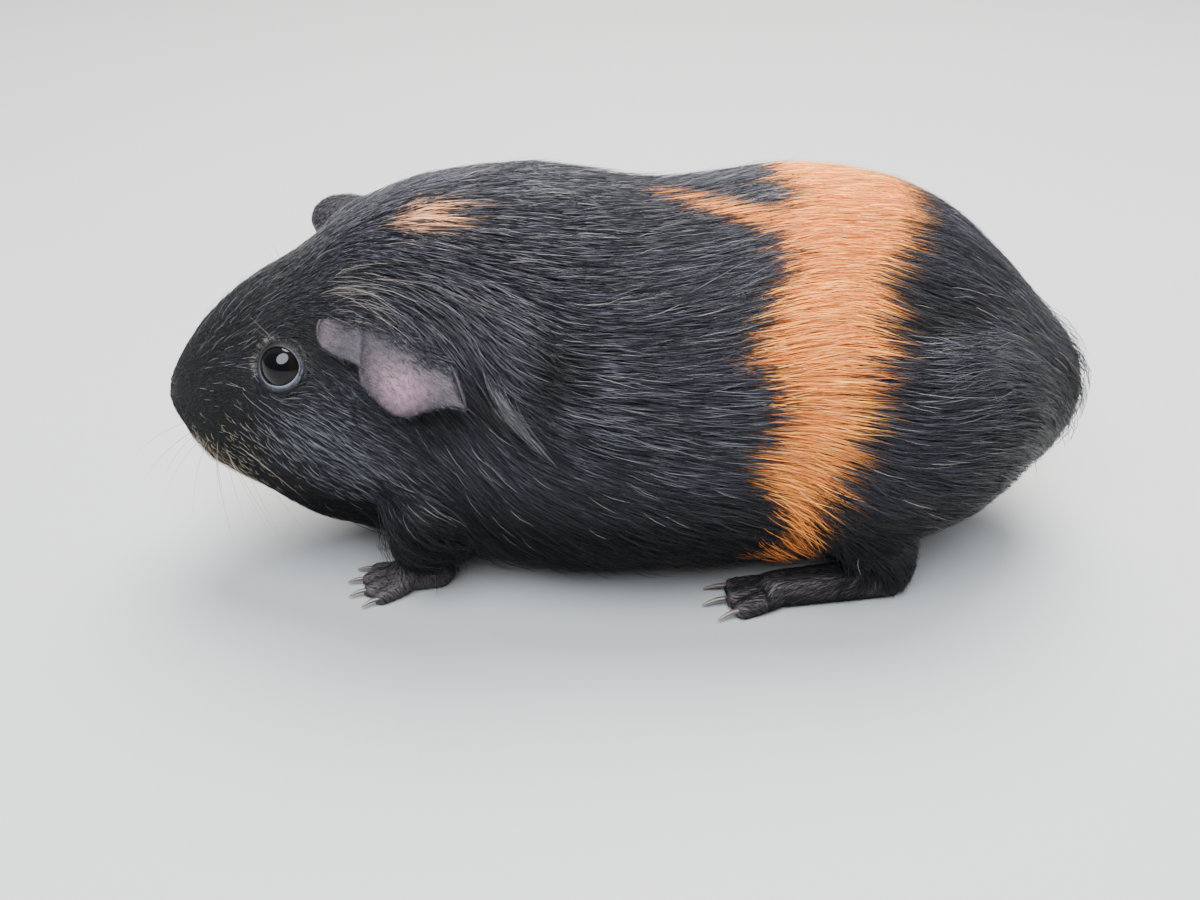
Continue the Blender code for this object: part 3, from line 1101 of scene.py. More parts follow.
@dataclass(frozen=True)
class Nose:
    """Nostrils, cleft and lips, for the left side, in millimetres."""

    nostril: tuple = (-119.6, -4.6, 53.0)
    nostril_way: tuple = (0.25, -0.80, 0.55)
    nostril_long: float = 1.9
    nostril_wide: float = 0.75
    nostril_deep: float = 2.0
    rim: float = 2.6  # reach of the bare skin round a nostril
    cleft: tuple = (41.5, 51.5)  # lowest and highest level
    cleft_wide: float = 0.55
    cleft_deep: float = 1.1
    mouth: tuple = (
        (-121, 0, 41.2), (-118, -4.0, 40.0), (-114.5, -8.5, 38.9), (-110, -12.5, 38.6),
        (-105, -15.5, 40.0),
    )
    mouth_wide: float = 0.75
    mouth_deep: float = 1.5


@dataclass(frozen=True)
class Swell:
    """A rounded push outwards, or inwards where negative, on both sides, in millimetres."""

    at: tuple[float, float, float]
    reach: tuple[float, float, float]
    push: float


SWELLS = (
    Swell((-82, -16, 17), (13, 13, 9), 3.2),  # jowl
    Swell((-68, -14, 10), (10, 14, 9), 4.0),  # dewlap
    Swell((-42, -42, 64), (5, 6, 5), -2.4),  # hollow behind the ear
    Swell((-36, -40, 73), (6, 8, 10), 2.2),  # end of the mane
    Swell((-25.5, -43, 71), (4.5, 8, 10), -3.2),  # crease before the shoulder
    Swell((-14, -45, 68), (8, 9, 13), 1.4),  # shoulder
    Swell((63, -37, 83), (9, 9, 7), -2.2),  # hollow above the thigh
    Swell((74, -45, 66), (15, 9, 9), 2.4),  # thigh
    Swell((40, -49, 36), (8, 8, 10), -1.2),  # groin
    Swell((-72, -7, 92), (10, 15, 11), 1.9),  # crown
    Swell((-57, -10, 99), (13, 18, 12), 1.5),  # crest of the neck
    Swell((-31, -12, 104), (24, 24, 14), 2.1),  # withers
    Swell((62, 0, 96), (30, 26, 18), 1.5),  # croup
    Swell((94, -8, 70), (15, 18, 16), 1.5),  # tail head
    Swell((-104, -15, 46), (6, 6, 6), 0.7),  # whisker pad
    Swell((-88, -27, 78), (6, 5, 3), 0.5),  # brow
)


def foot_share(points: Points) -> Points:
    """1 on the bare feet, 0 on the rest.

    Args:
        points: Places in millimetres.

    Returns:
        A share for each place.
    """
    x, y, z = points.T
    y = np.abs(y)
    fore = rise(x, -48, -50) * rise(np.abs(y - 23), 12, 10)
    hind = rise(x, 18, 20) * rise(x, 76, 74) * rise(np.abs(y - 37), 11, 9)
    return np.clip(fore + hind, 0, 1) * rise(z, 11, 8)


@dataclass(frozen=True)
class Skin:
    """One skin for head, body, legs and feet, inside the solids by the coat's depth."""

    flesh: tuple = (
        "head", "neck", "trunk", "rump", "foreleg_left", "foreleg_right", "hind_leg_left",
        "hind_leg_right", "forefoot_left", "forefoot_right", "hindfoot_left", "hindfoot_right",
    )
    swell: float = 0.4  # closes the gaps between the solids
    voxel: float = 0.65
    smooth_rounds: int = 70
    pulls: tuple[float, float] = (0.5, -0.53)  # shrinking and swelling
    kept_faces: float = 0.15  # share of the trunk's faces that stay
    depth_stops: tuple = (-122, -110, -96, -82, -66, -48, 125)  # x, and the coat's depth there
    depths: tuple = (0.3, 0.45, 0.8, 1.3, 2.2, 3.0, 3.0)
    nose: Nose = Nose()

    def build(self, frame_nodes: dict) -> Thing:
        """Fuses the flesh nodes, smooths them, and shapes nose and mouth.

        Args:
            frame_nodes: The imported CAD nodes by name.

        Returns:
            The skin.
        """
        copies = [welded_copy(frame_nodes[name], f"copy {name}") for name in self.flesh]
        for made in copies:
            apply(made, "DISPLACE", strength=self.swell * MM, mid_level=0)
        choose(*copies)
        bpy.ops.object.join()
        apply(copies[0], "REMESH", mode="VOXEL", voxel_size=self.voxel * MM)
        skin = self.outer_shell(copies[0])
        self.smooth(skin)
        self.sink(skin)
        self.thin_out(skin)
        self.swell_out(skin)
        self.refine(skin)
        self.shape_face(skin)
        skin.data.shade_smooth()
        carry(skin, "bare", self.bareness(places_of(skin)))
        return skin

    def outer_shell(self, skin: Thing) -> Thing:
        """The largest closed shell; the pockets between the solids are thrown away.

        Args:
            skin: The joined solids.

        Returns:
            The shell.
        """
        edit(skin, bpy.ops.mesh.separate, type="LOOSE")
        shells = sorted(bpy.context.selected_objects, key=lambda shell: -len(shell.data.vertices))
        for pocket in shells[1:]:
            bpy.data.objects.remove(pocket)
        shells[0].name = "skin"
        return shells[0]

    def smooth(self, skin: Thing) -> None:
        """Evens out the facets with rounds of shrinking and swelling, less on face and feet.

        Args:
            skin: The shell.
        """
        points = places_of(skin)
        ends = np.zeros(len(skin.data.edges) * 2, np.int32)
        skin.data.edges.foreach_get("vertices", ends)
        first, last = ends.reshape(-1, 2).T
        count = np.bincount(ends, minlength=len(points))[:, None]
        free = np.where(points[:, 2] < 9, 0.12, 1.0) * (0.35 + 0.65 * rise(points[:, 0], -108, -80))
        for turn in range(self.smooth_rounds * 2):
            pull = self.pulls[turn % 2] * free
            total = [
                np.bincount(first, column[last], len(column))
                + np.bincount(last, column[first], len(column))
                for column in points.T
            ]
            points += (np.stack(total, 1) / count - points) * pull[:, None]
        write_points(skin, points)

    def depth(self, points: Points) -> Points:
        """How deep the skin lies under the coat's outline, in millimetres.

        Args:
            points: Places in millimetres.

        Returns:
            The depths.
        """
        x, _, z = points.T
        depth = np.interp(x, self.depth_stops, self.depths)
        low = rise(z, 24, 8)
        return depth * (1 - low) + np.minimum(depth, 1.2) * low

    def sink(self, skin: Thing) -> None:
        """Moves the skin in by the coat's depth, but leaves the feet as they are."""
        points = places_of(skin)
        push_out(skin, -(self.depth(points) * (1 - foot_share(points)) + self.swell))

    def swell_out(self, skin: Thing) -> None:
        """Adds the soft folds and hollows of head, throat, shoulder and rump.

        Args:
            skin: The shell.
        """
        points = places_of(skin)
        folded = left_side(points)
        push = np.zeros(len(points))
        for swell in SWELLS:
            push += swell.push * nearness(folded, swell.at, swell.reach)
        push_out(skin, push * (1 - foot_share(points)))

    def bareness(self, points: Points) -> Points:
        """1 where the skin shows bare: soles, toes and the rims of the nostrils.

        Args:
            points: Places in millimetres.

        Returns:
            A share for each place.
        """
        nose = self.nose
        left, right = (nearness(points * (1, side, 1), nose.nostril, nose.rim) for side in (1, -1))
        return np.clip(foot_share(points) + (left + right), 0, 1)

    def thin_out(self, skin: Thing) -> None:
        """Uses fewer faces on the trunk than on face and feet.

        Args:
            skin: The shell.
        """
        points = places_of(skin)
        plain = (points[:, 0] > -94) & (foot_share(points) < 0.01)
        edit_part(skin, plain, bpy.ops.mesh.decimate, ratio=self.kept_faces)

    def refine(self, skin: Thing) -> None:
        """Cuts the faces round nostrils and mouth smaller.

        Args:
            skin: The shell.
        """
        x, y, z = places_of(skin).T
        near = (x < -103) & (z > 34) & (z < 58) & (np.abs(y) < 17)
        edit_part(skin, near, bpy.ops.mesh.subdivide, number_cuts=1)

    def shape_face(self, skin: Thing) -> None:
        """Presses in nostrils, cleft and mouth, and rounds the lips beside them.

        Args:
            skin: The shell.
        """
        nose = self.nose
        points, normals = places_of(skin), normals_of(skin)
        push = np.zeros(len(points))
        way = unit(np.array(nose.nostril_way))
        for side in (1, -1):
            local, facing = points * (1, side, 1), normals * (1, side, 1)
            away = local - np.array(nose.nostril)
            long = away @ way
            bent = (away * np.cross(way, facing)).sum(1) + 0.22 * long**2
            off = (away * facing).sum(1)
            near = np.exp(-((long / nose.nostril_long) ** 2) - (off / 4) ** 2)
            push -= nose.nostril_deep * near * hump(bent, nose.nostril_wide)
            push += 0.45 * near * hump(np.abs(bent) - 1.7, 0.9)
            away, share = distance_to_line(local, np.array(nose.mouth, float))
            fade = rise(share, 1.0, 0.75) * (local[:, 1] <= 0.5)
            push -= nose.mouth_deep * fade * hump(away, nose.mouth_wide)
            push += 0.4 * fade * hump(away - 2.2, 1.2)
        x, y, z = points.T
        low, high = nose.cleft
        cleft = rise(z, low - 1, low + 1) * rise(z, high, high - 3)
        push -= nose.cleft_deep * cleft * hump(y, nose.cleft_wide) * (x < -110)
        push += 0.35 * cleft * hump(np.abs(y) - 2.0, 1.3) * (x < -110)
        push_out(skin, push)


def distance_to_line(points: Points, line: Points) -> tuple[Points, Points]:
    """Distances from points to a line of straight lengths, and how far along it they fall.

    Args:
        points: Places in millimetres.
        line: The line's corners.

    Returns:
        Distances, and shares of the line's corners passed.
    """
    best = np.full(len(points), 1e9)
    share = np.zeros(len(points))
    for index, (start, end) in enumerate(zip(line[:-1], line[1:], strict=True)):
        way = end - start
        t = np.clip((points - start) @ way / (way @ way), 0, 1)
        away = np.linalg.norm(points - (start + t[:, None] * way), axis=1)
        closer = away < best
        best = np.where(closer, away, best)
        share = np.where(closer, (index + t) / (len(line) - 1), share)
    return best, share


# ---- coat


@dataclass(frozen=True)
class Guide:
    """Which way the hair lies at a place on the left side or the middle, in millimetres."""

    at: tuple[float, float, float]
    way: tuple[float, float, float]
    reach: float = 14.0


# Places, ways and reaches, from nose to rump.
GUIDE_ROWS = (
    ((-121, 0, 56), (0.3, 0, 1), 5), ((-119, -7, 48), (0.6, -0.8, -0.1), 5),
    ((-120, 0, 44), (0.4, -0.2, -0.9), 4), ((-112, 0, 64), (0.9, 0, 0.6), 7),
    ((-113, -12, 52), (0.9, -0.4, 0.05), 7), ((-112, -13, 43), (0.85, -0.3, -0.4), 6),
    ((-113, -5, 35), (0.8, -0.2, -0.5), 6), ((-102, -20, 48), (0.9, -0.2, -0.3), 9),
    ((-100, -17, 63), (0.95, -0.2, 0.25), 9), ((-98, 0, 76), (0.85, 0, 0.5), 11),
    ((-99, -8, 28), (1, 0, -0.2), 9), ((-86, 0, 86), (0.9, 0, 0.35), 11),
    ((-86, -18, 80), (0.9, -0.1, 0.25), 9), ((-95, -24, 60), (0.8, -0.2, -0.35), 7),
    ((-84, -30, 60), (0.85, -0.1, -0.4), 8), ((-84, -31, 47), (0.78, 0, -0.6), 11),
    ((-84, -25, 30), (0.8, 0, -0.5), 11), ((-84, -8, 20), (1, 0, 0), 12),
    ((-74, 0, 92), (0.95, 0, 0.25), 11), ((-80, -20, 82), (0.9, -0.2, 0.25), 5),
    ((-74, -23, 83), (0.85, -0.35, -0.15), 5), ((-68, -22, 88), (0.8, -0.45, -0.15), 7),
    ((-58, -20, 92), (0.85, -0.4, -0.2), 8), ((-72, -29, 78), (0.62, -0.45, -0.6), 5),
    ((-63, -31, 82), (0.55, -0.45, -0.65), 6), ((-56, -37, 77), (0.52, -0.3, -0.8), 7),
    ((-47, -33, 83), (0.60, -0.35, -0.62), 7), ((-46, -40, 74), (0.50, -0.2, -0.85), 7),
    ((-37, -34, 83), (0.70, -0.28, -0.52), 7), ((-38, -42, 68), (0.50, -0.15, -0.85), 6),
    ((-31, -28, 90), (0.88, -0.2, -0.28), 8), ((-68, -37, 60), (0.88, 0, -0.45), 9),
    ((-58, -42, 55), (0.78, 0, -0.6), 11), ((-44, -44, 57), (0.68, -0.05, -0.68), 8),
    ((-60, -38, 36), (0.75, 0, -0.6), 14), ((-60, -20, 16), (0.9, 0, -0.4), 14),
    ((-52, 0, 99), (1, 0, 0.1), 12), ((-42, -20, 97), (0.95, -0.25, -0.1), 12),
    ((-24, -44, 72), (0.99, -0.05, -0.06), 7), ((-27, -46, 58), (0.93, -0.05, -0.3), 8),
    ((-28, -48, 50), (0.88, 0, -0.42), 11), ((-30, -45, 30), (0.72, 0, -0.65), 14),
    ((-15, 0, 104), (1, 0, 0), 20), ((-8, -50, 55), (0.98, 0, -0.12), 18),
    ((-5, -34, 90), (1, -0.03, 0.02), 20), ((-5, -44, 24), (0.80, 0, -0.55), 15),
    ((0, 0, 4), (1, 0, 0), 26), ((30, 0, 104), (1, 0, 0), 22),
    ((0, -36, 86), (0.98, 0.09, 0.15), 12), ((7, -44, 75), (0.99, 0.04, 0.08), 10),
    ((17, -34, 89), (0.94, 0.17, 0.29), 7), ((18, -43, 78), (0.96, 0.12, 0.22), 8),
    ((27, -32, 92), (0.99, 0.03, 0.05), 7), ((30, -43, 80), (0.98, 0.06, 0.10), 8),
    ((38, -36, 89), (0.98, -0.06, -0.10), 7), ((45, -20, 99), (0.99, -0.10, -0.08), 9),
    ((51, -39, 85), (0.86, -0.25, -0.44), 7), ((56, -32, 90), (0.88, -0.22, -0.40), 8),
    ((45, -45, 76), (0.97, -0.05, -0.16), 7), ((24, -52, 58), (0.99, 0, 0.03), 12),
    ((40, -52, 62), (0.97, 0, -0.20), 8), ((44, -53, 52), (0.86, 0, -0.50), 8),
    ((32, -52, 42), (0.78, 0, -0.62), 8), ((66, -50, 62), (0.97, -0.02, 0.10), 9),
    ((68, -44, 72), (0.97, 0.04, 0.12), 7), ((66, -33, 86), (0.93, -0.10, -0.30), 9),
    ((64, -53, 50), (0.97, 0, -0.02), 9), ((36, -48, 26), (0.60, 0, -0.80), 9),
    ((50, -50, 40), (0.93, 0, -0.35), 8), ((68, -50, 34), (0.85, 0.1, -0.45), 12),
    ((82, -44, 60), (0.93, 0.15, 0.02), 10), ((86, -40, 38), (0.75, 0.3, -0.5), 12),
    ((88, 0, 80), (0.8, 0, -0.6), 18), ((88, -28, 68), (0.85, 0.05, -0.45), 12),
    ((106, -18, 45), (0.6, 0.2, -0.75), 12), ((112, 0, 40), (0.55, 0, -0.85), 14),
    ((66, -40, 14), (0.4, 0, -0.9), 9), ((-52, -26, 18), (0.1, -0.1, -1), 8),
    ((-62, -22, 6), (-1, 0, -0.2), 7), ((46, -37, 5), (-1, 0, -0.1), 10),
)
GUIDES = tuple(Guide(*row) for row in GUIDE_ROWS)


@dataclass(frozen=True)
class Post:
    """A round place that hair grows and flows around: a middle, an axis and a radius."""

    middle: Points
    axis: Points
    radius: float
    depth: float = 14.0

    def away(self, places: Points) -> tuple[Points, Points]:
        """Ways from the axis to places, and their distances in millimetres.

        Args:
            places: Places in millimetres.

        Returns:
            The ways and the distances.
        """
        rel = places - self.middle
        radial = rel - (rel @ self.axis)[:, None] * self.axis
        off = np.linalg.norm(radial, axis=1)
        far = np.linalg.norm(rel, axis=1) > self.depth + off
        return unit(radial), np.where(far, 1e3, off)


class Lie:
    """The lie of the coat: which way hair points at any place."""

    def __init__(self, posts: list[Post]) -> None:
        """Lays out the guides and the small waves of the coat.

        Args:
            posts: The round places that hair flows around.
        """
        self.at = np.array([guide.at for guide in GUIDES], float)
        self.ways = unit(np.array([guide.way for guide in GUIDES], float))
        self.reach = np.array([guide.reach for guide in GUIDES], float)
        self.broad = Ripple(26, Draw.BROAD_WAVES)
        self.fine = Ripple(6.5, Draw.FINE_WAVES)
        self.posts = posts

    def way(self, places: Points, normals: Points) -> Points:
        """Unit ways in the surface.

        Args:
            places: Places in millimetres.
            normals: The surface's normals there.

        Returns:
            The ways.
        """
        side = np.where(places[:, 1] > 0, -1.0, 1.0)
        folded = places.copy()
        folded[:, 1] *= side
        square = ((folded[:, None] - self.at[None]) ** 2).sum(2)
        weights = np.exp(-square / (2 * self.reach**2)) + 1e-7 / (1 + square)
        ways = weights @ self.ways / weights.sum(1, keepdims=True)
        ways[:, 1] *= side * rise(np.abs(places[:, 1]), 0, 7)
        ways = unit(ways)
        for post in self.posts:
            radial, off = post.away(places)
            near = np.minimum((post.radius / off) ** 2, 0.88)[:, None]
            ways = ways + near * (ways - 2 * dot(ways, radial) * radial)
        ways = unit(ways - normals * dot(ways, normals))
        return turned(ways, normals, self.broad.at(places) * 0.06 + self.fine.at(places) * 0.05)

    def room(self, places: Points, ways: Points) -> Points:
        """How far hair may run before it meets a round place, in millimetres.

        Args:
            places: Places in millimetres.
            ways: The way that hair runs at each.

        Returns:
            The distances.
        """
        room = np.full(len(places), 1e3)
        for post in self.posts:
            radial, off = post.away(places)
            towards = np.clip(-(ways * radial).sum(1), 0.02, 1)
            room = np.minimum(room, np.maximum(off - post.radius, 0.9) / towards)
        return room


def unwrap(places: Points) -> Points:
    """Where places on the skin fall on a flat map of its own shape, from 0 to 1 each way.

    The body is rolled out along its length and round its middle line. Each foot has a cell of
    its own along the map's lower edge.

    Args:
        places: Places in millimetres.

    Returns:
        Two columns, across and up the map.
    """
    x, y, z = places.T
    middle = np.interp(x, (-122, -60, 0, 60, 122), (49, 51, 45, 42, 27))
    along = np.arctan2(np.hypot(y, z - middle) / 52, -x / 122) / math.pi
    around = 0.5 + np.arctan2(y, z - middle) / (2 * math.pi)
    body = np.stack([0.01 + 0.98 * along, 0.17 + 0.82 * around], 1)
    hind = x > 0
    heel, toe = np.where(hind, 18, -82), np.where(hind, 78, -48)
    across = np.abs(y) - np.where(hind, 37, 23)
    cell = hind * 2 + (y > 0)
    foot = np.stack(
        [
            (cell + 0.05 + 0.9 * np.clip((x - heel) / (toe - heel), 0, 1)) / 4,
            0.01 + 0.14 * (0.5 + np.arctan2(across, z - 3) / (2 * math.pi)),
        ],
        1,
    )
    is_foot = (z < 10) & (np.abs(across) < 10) & (x > heel) & (x < toe)
    return np.where(is_foot[:, None], foot, body)


PATCH = 0.003  # size of a tuft's patch on the map
FLATNESS = 0.7  # thickness of a tuft as a share of its width
LOWEST = 0.15  # least height of a tuft over the floor, in millimetres


def tuft_object(
    name: str, lines: Points, normals: Points, widths: Points, spots: Points, roll: Points
) -> Thing:
    """One mesh of closed, tapered, three-sided tufts.

    Args:
        name: The object's name.
        lines: The middle line of each tuft, from root to tip, in millimetres.
        normals: Which way is out, along each line.
        widths: The full width along each line; the tip closes in a point.
        spots: The place that colours each tuft.
        roll: Turn of each tuft about its own line, in radians.

    Returns:
        The object.
    """
    count, stops = lines.shape[:2]
    steps = stops - 1
    lines = np.concatenate([lines[..., :2], np.maximum(lines[..., 2:], LOWEST)], -1)
    ways = unit(np.gradient(lines, axis=1) + 1e-9)
    across = unit(np.cross(ways, normals))
    out = np.cross(across, ways)
    angles = roll[:, None, None] + np.radians([90, 210, 330])[None, None]
    half = widths[:, :steps, None] / 2
    ring = (
        lines[:, :steps, None]
        + across[:, :steps, None] * (np.cos(angles) * half)[..., None]
        + out[:, :steps, None] * (np.sin(angles) * half * FLATNESS)[..., None]
    )
    size = 3 * steps + 1
    points = np.concatenate([ring.reshape(count, 3 * steps, 3), lines[:, -1:]], 1)
    corners, starts = [0, 1, 2], [0]
    for low in range(0, 3 * steps, 3):
        last = low == 3 * steps - 3
        for here, after in ((low, low + 1), (low + 1, low + 2), (low + 2, low)):
            starts.append(len(corners))
            corners += [here, low + 3, after] if last else [here, here + 3, after + 3, after]
    base = np.arange(count)[:, None]
    loops = (base * size + np.array(corners)[None]).ravel()
    first = (base * len(corners) + np.array(starts)[None]).ravel()
    mesh = bpy.data.meshes.new(name)
    mesh.vertices.add(count * size)
    mesh.vertices.foreach_set("co", (points * MM).astype(np.float32).ravel())
    mesh.loops.add(len(loops))
    mesh.loops.foreach_set("vertex_index", loops.astype(np.int32))
    mesh.polygons.add(len(first))
    mesh.polygons.foreach_set("loop_start", first.astype(np.int32))
    mesh.update(calc_edges=True)
    mesh.shade_smooth()
    made = add(name, mesh)
    tip = np.append(np.repeat(np.arange(steps) / steps, 3), 1.0)
    side = np.append(np.tile([0.0, 0.5, 1.0], steps), 0.5)
    carry(made, "tip", np.tile(tip, count))
    carry(made, "spot", np.repeat(spots * MM, size, axis=0))
    patch = np.stack([tip + 0.3 / steps * (side == 0.5), side], 1) - 0.5
    flat = unwrap(lines[:, 0])[:, None] + patch[None] * PATCH
    layer = mesh.uv_layers.new(name="OFBake")
    layer.data.foreach_set("uv", flat.reshape(-1, 2)[loops].astype(np.float32).ravel())
    return made


HEAD_MIDDLE = np.array((-65, 0, 62))
HEIGHTS = {2: (-0.2, 0.7, 1.0), 4: (-0.1, 0.6, 0.9, 1.0, 1.0)}  # share of a tuft's lift along it
TAPERS = {2: (0.8, 0.95, 0.0), 4: (0.7, 1.0, 0.95, 0.7, 0.0)}  # share of a tuft's width along it


@dataclass
class Seeds:
    """Where tufts root, and what they are like: one row or number to a tuft, in millimetres."""

    roots: Points
    normals: Points
    lengths: Points
    lifts: Points
    widths: Points
    turn: Points

    def part(self, chosen: Points) -> "Seeds":
        """Some of the seeds."""
        return Seeds(*(getattr(self, field)[chosen] for field in self.__dataclass_fields__))

    def face_away(self) -> Points:
        """Which of the seeds face away from the head."""
        return dot(self.normals, self.roots - HEAD_MIDDLE)[:, 0] > 0

    def face_head(self) -> Points:
        """Which of the seeds face the head."""
        return dot(self.normals, self.roots - HEAD_MIDDLE)[:, 0] < 0

    def face(self, way: Points) -> Points:
        """Which of the seeds face a way, or lie nearly edge on to it."""
        return self.normals @ way > -0.2

    def draw(self, rng: np.random.Generator, kind: "Hairs | Fur") -> None:
        """Draws the size of each tuft, and its turn where the kind has a spread.

        Args:
            rng: The random generator.
            kind: The kind of hair.
        """
        count = len(self.roots)
        self.lengths = rng.uniform(*kind.length, count)
        self.lifts = rng.uniform(*kind.lift, count)
        self.widths = rng.uniform(*kind.width, count)
        if kind.spread:
            self.turn = rng.normal(size=count) * kind.spread


class Coat:
    """Tufts all over the skin, laid along the body."""

    # x of some stops along the body, and at each of them a tuft's length, width and lift in
    # millimetres and the tufts to a square millimetre.
    stops = (-122, -114, -104, -92, -80, -68, -54, -40, 90, 112, 125)
    lengths = (0.9, 1.5, 2.6, 4.4, 7.5, 12.0, 17.0, 20.0, 21.0, 22.0, 21.0)
    widths = (0.125, 0.135, 0.155, 0.175, 0.20, 0.22, 0.23, 0.235, 0.235, 0.235, 0.235)
    lifts = (0.28, 0.42, 0.60, 0.80, 1.1, 1.8, 2.5, 2.6, 2.6, 3.6, 6.0)
    density = (5.7, 5.3, 4.4, 3.3, 2.55, 2.0, 1.68, 1.57, 1.53, 1.58, 1.58)
    spread_stops = (-122, -104, -80, -40)  # x, and how much the tufts turn there, in radians
    spreads = (0.26, 0.18, 0.09, 0.06)
    stray_share = 0.010  # share of tufts that stand up and turn aside

    def __init__(self, skin: Surface, drape: Surface, lie: Lie, keep_off: "list[Ball]") -> None:
        """Prepares the coat.

        Args:
            skin: The skin that tufts root in.
            drape: The skin with the ears, that tufts lie on.
            lie: The lie of the coat.
            keep_off: Places where no tuft roots.
        """
        self.skin = skin
        self.drape = drape
        self.lie = lie
        self.keep_off = keep_off
        self.rng = np.random.default_rng(Draw.COAT)
        self.clump = Ripple(3.2, Draw.CLUMPS)
        self.tall = Ripple(5.0, Draw.HEIGHTS)

    def lay(self, seeds: Seeds, steps: int) -> tuple[Points, Points]:
        """Lays each tuft's middle line along the lie of the coat.

        Args:
            seeds: The tufts.
            steps: Straight lengths to a tuft.

        Returns:
            The lines and the normals along them.
        """
        heights = HEIGHTS[steps]
        place, facing = seeds.roots, seeds.normals
        way = turned(self.lie.way(place, facing), facing, seeds.turn)
        lengths = np.minimum(seeds.lengths, self.lie.room(place, way))
        lifts = seeds.lifts[:, None]
        lines, outs = [place + facing * lifts * heights[0]], [facing]
        for height in heights[1:]:
            ahead = place + way * (lengths / steps)[:, None]
            place, facing = self.drape.nearest(ahead)
            flow = turned(self.lie.way(place, facing), facing, seeds.turn)
            kept = unit(way - facing * dot(way, facing))
            way = unit(flow * 0.6 + kept * 0.4)
            lines.append(place + facing * lifts * height)
            outs.append(facing)
        return np.stack(lines, 1), np.stack(outs, 1)

    def free(self, spots: Points) -> Points:
        """Which spots lie outside all bare places.

        Args:
            spots: Places in millimetres.

        Returns:
            True for each free spot.
        """
        free = np.ones(len(spots), bool)
        for ball in self.keep_off:
            free &= np.linalg.norm((spots - ball.middle) / ball.radii, axis=1) > 1
        for post in self.lie.posts:
            free &= post.away(spots)[1] > post.radius + 0.1
        return free

    def seeds(self, surface: Surface, density: Points, seed: int) -> Seeds:
        """Roots all over a surface, and the length, lift and width of a tuft at each.

        Args:
            surface: Where the tufts root.
            density: Tufts to a square millimetre for each face.
            seed: Seed of the random places.

        Returns:
            The seeds.
        """
        roots, normals = surface.sample(density, seed)
        free = self.free(roots)
        roots, normals = roots[free], normals[free]
        count = len(roots)
        x, _, z = roots.T
        low = rise(z, 20, 7)
        foot = foot_share(roots)
        vary = self.rng.uniform(0.75, 1.25, count)
        lengths = np.interp(x, self.stops, self.lengths) * vary
        lifts = np.interp(x, self.stops, self.lifts) * self.rng.uniform(0.35, 1.0, count)
        lifts *= (1 - 0.5 * low) * (1 - 0.6 * foot) * (1 + 0.10 * self.tall.at(roots))
        stray = self.rng.random(count) < self.stray_share
        spread = np.interp(x, self.spread_stops, self.spreads) * np.where(stray, 2.5, 1)
        widths = np.interp(x, self.stops, self.widths) * self.rng.uniform(0.6, 1.3, count)
        return Seeds(
            roots,
            normals,
            lengths * (1 - 0.6 * low) * (1 - 0.68 * foot),
            lifts * np.where(stray, 1.3, 1),
            widths * (1 - 0.25 * foot),
            self.rng.normal(size=count) * spread + 0.05 * self.clump.at(roots),
        )

    def grow(self) -> list[Thing]:
        """All tufts of the coat, as pieces of fewer than 200,000 triangles.

        Returns:
            The pieces, from muzzle to rump.
        """
        x, y, z = self.skin.middles().T
        density = np.interp(x, self.stops, self.density)
        under = rise(z, 16, 8) * rise(np.abs(y), 36, 26)
        density *= 1 - 0.55 * under * rise(x, -90, -70)
        density *= 1 + 0.8 * foot_share(self.skin.middles())
        seeds = self.seeds(self.skin, density, Draw.COAT_ROOTS)
        order = np.argsort(seeds.roots[:, 0], kind="stable")
        names = ("muzzle", "cheek", "neck", "shoulder", "ribs", "waist", "loin", "hip", "rump")
        return [
            self.piece(f"coat_{name}", seeds.part(part), 2)
            for name, part in zip(names, np.array_split(order, len(names)), strict=True)
        ]

    def piece(self, name: str, seeds: Seeds, steps: int) -> Thing:
        """One piece of the coat.

        Args:
            name: The piece's name.
            seeds: Its tufts.
            steps: Straight lengths to a tuft.

        Returns:
            The piece.
        """
        lines, outs = self.lay(seeds, steps)
        widths = seeds.widths[:, None] * np.array(TAPERS[steps])[None]
        roll = self.rng.uniform(-0.5, 0.5, len(seeds.roots))
        return tuft_object(name, lines, outs, widths, lines[:, steps // 2], roll)

    def ear_cover(self, ear: "Ear", surface: Surface) -> Thing:
        """Hair that roots on the upper part of an ear and covers it.

        Args:
            ear: The ear.
            surface: Its surface.

        Returns:
            The piece.
        """
        middles = surface.middles()
        share = ear.reach_share(middles)
        front = rise(middles[:, 0], ear.furred_to + 6, ear.furred_to)
        ragged = ear.furred + 0.08 * self.tall.at(middles)
        density = 3.6 * np.maximum(rise(share - ragged, 0.12, -0.25), front)
        seeds = self.seeds(surface, density, Draw.EAR_COVER)
        seeds = seeds.part(seeds.face_away())
        tall = rise(ear.reach_share(seeds.roots), ear.furred + 0.1, 0.0)
        tall = np.maximum(tall, 0.35 * (seeds.roots[:, 0] < ear.furred_to + 6))
        lengths = ear.fur_length * (0.30 + 0.75 * tall)
        seeds.lengths = lengths * self.rng.uniform(0.6, 1.3, len(tall))
        seeds.lifts = (0.5 + 1.2 * tall) * self.rng.uniform(0.4, 1, len(tall))
        seeds.widths = (0.10 + 0.13 * tall) * self.rng.uniform(0.6, 1.3, len(tall))
        return self.piece(f"coat_ear_{ear.side}", seeds, 2)

    def fur(
        self, name: str, kind: "Fur", surface: Surface, grows: Callable[[Seeds], Points]
    ) -> Thing:
        """Short hair on an ear or on lids.

        Args:
            name: The piece's name.
            kind: What the hair is like.
            surface: What it grows on.
            grows: Tells which seeds lie on the side that it grows on.

        Returns:
            The piece.
        """
        seeds = self.seeds(surface, np.full(len(surface.faces), kind.density), kind.seed)
        seeds = seeds.part(grows(seeds))
        seeds.draw(self.rng, kind)
        return self.piece(name, seeds, 2)

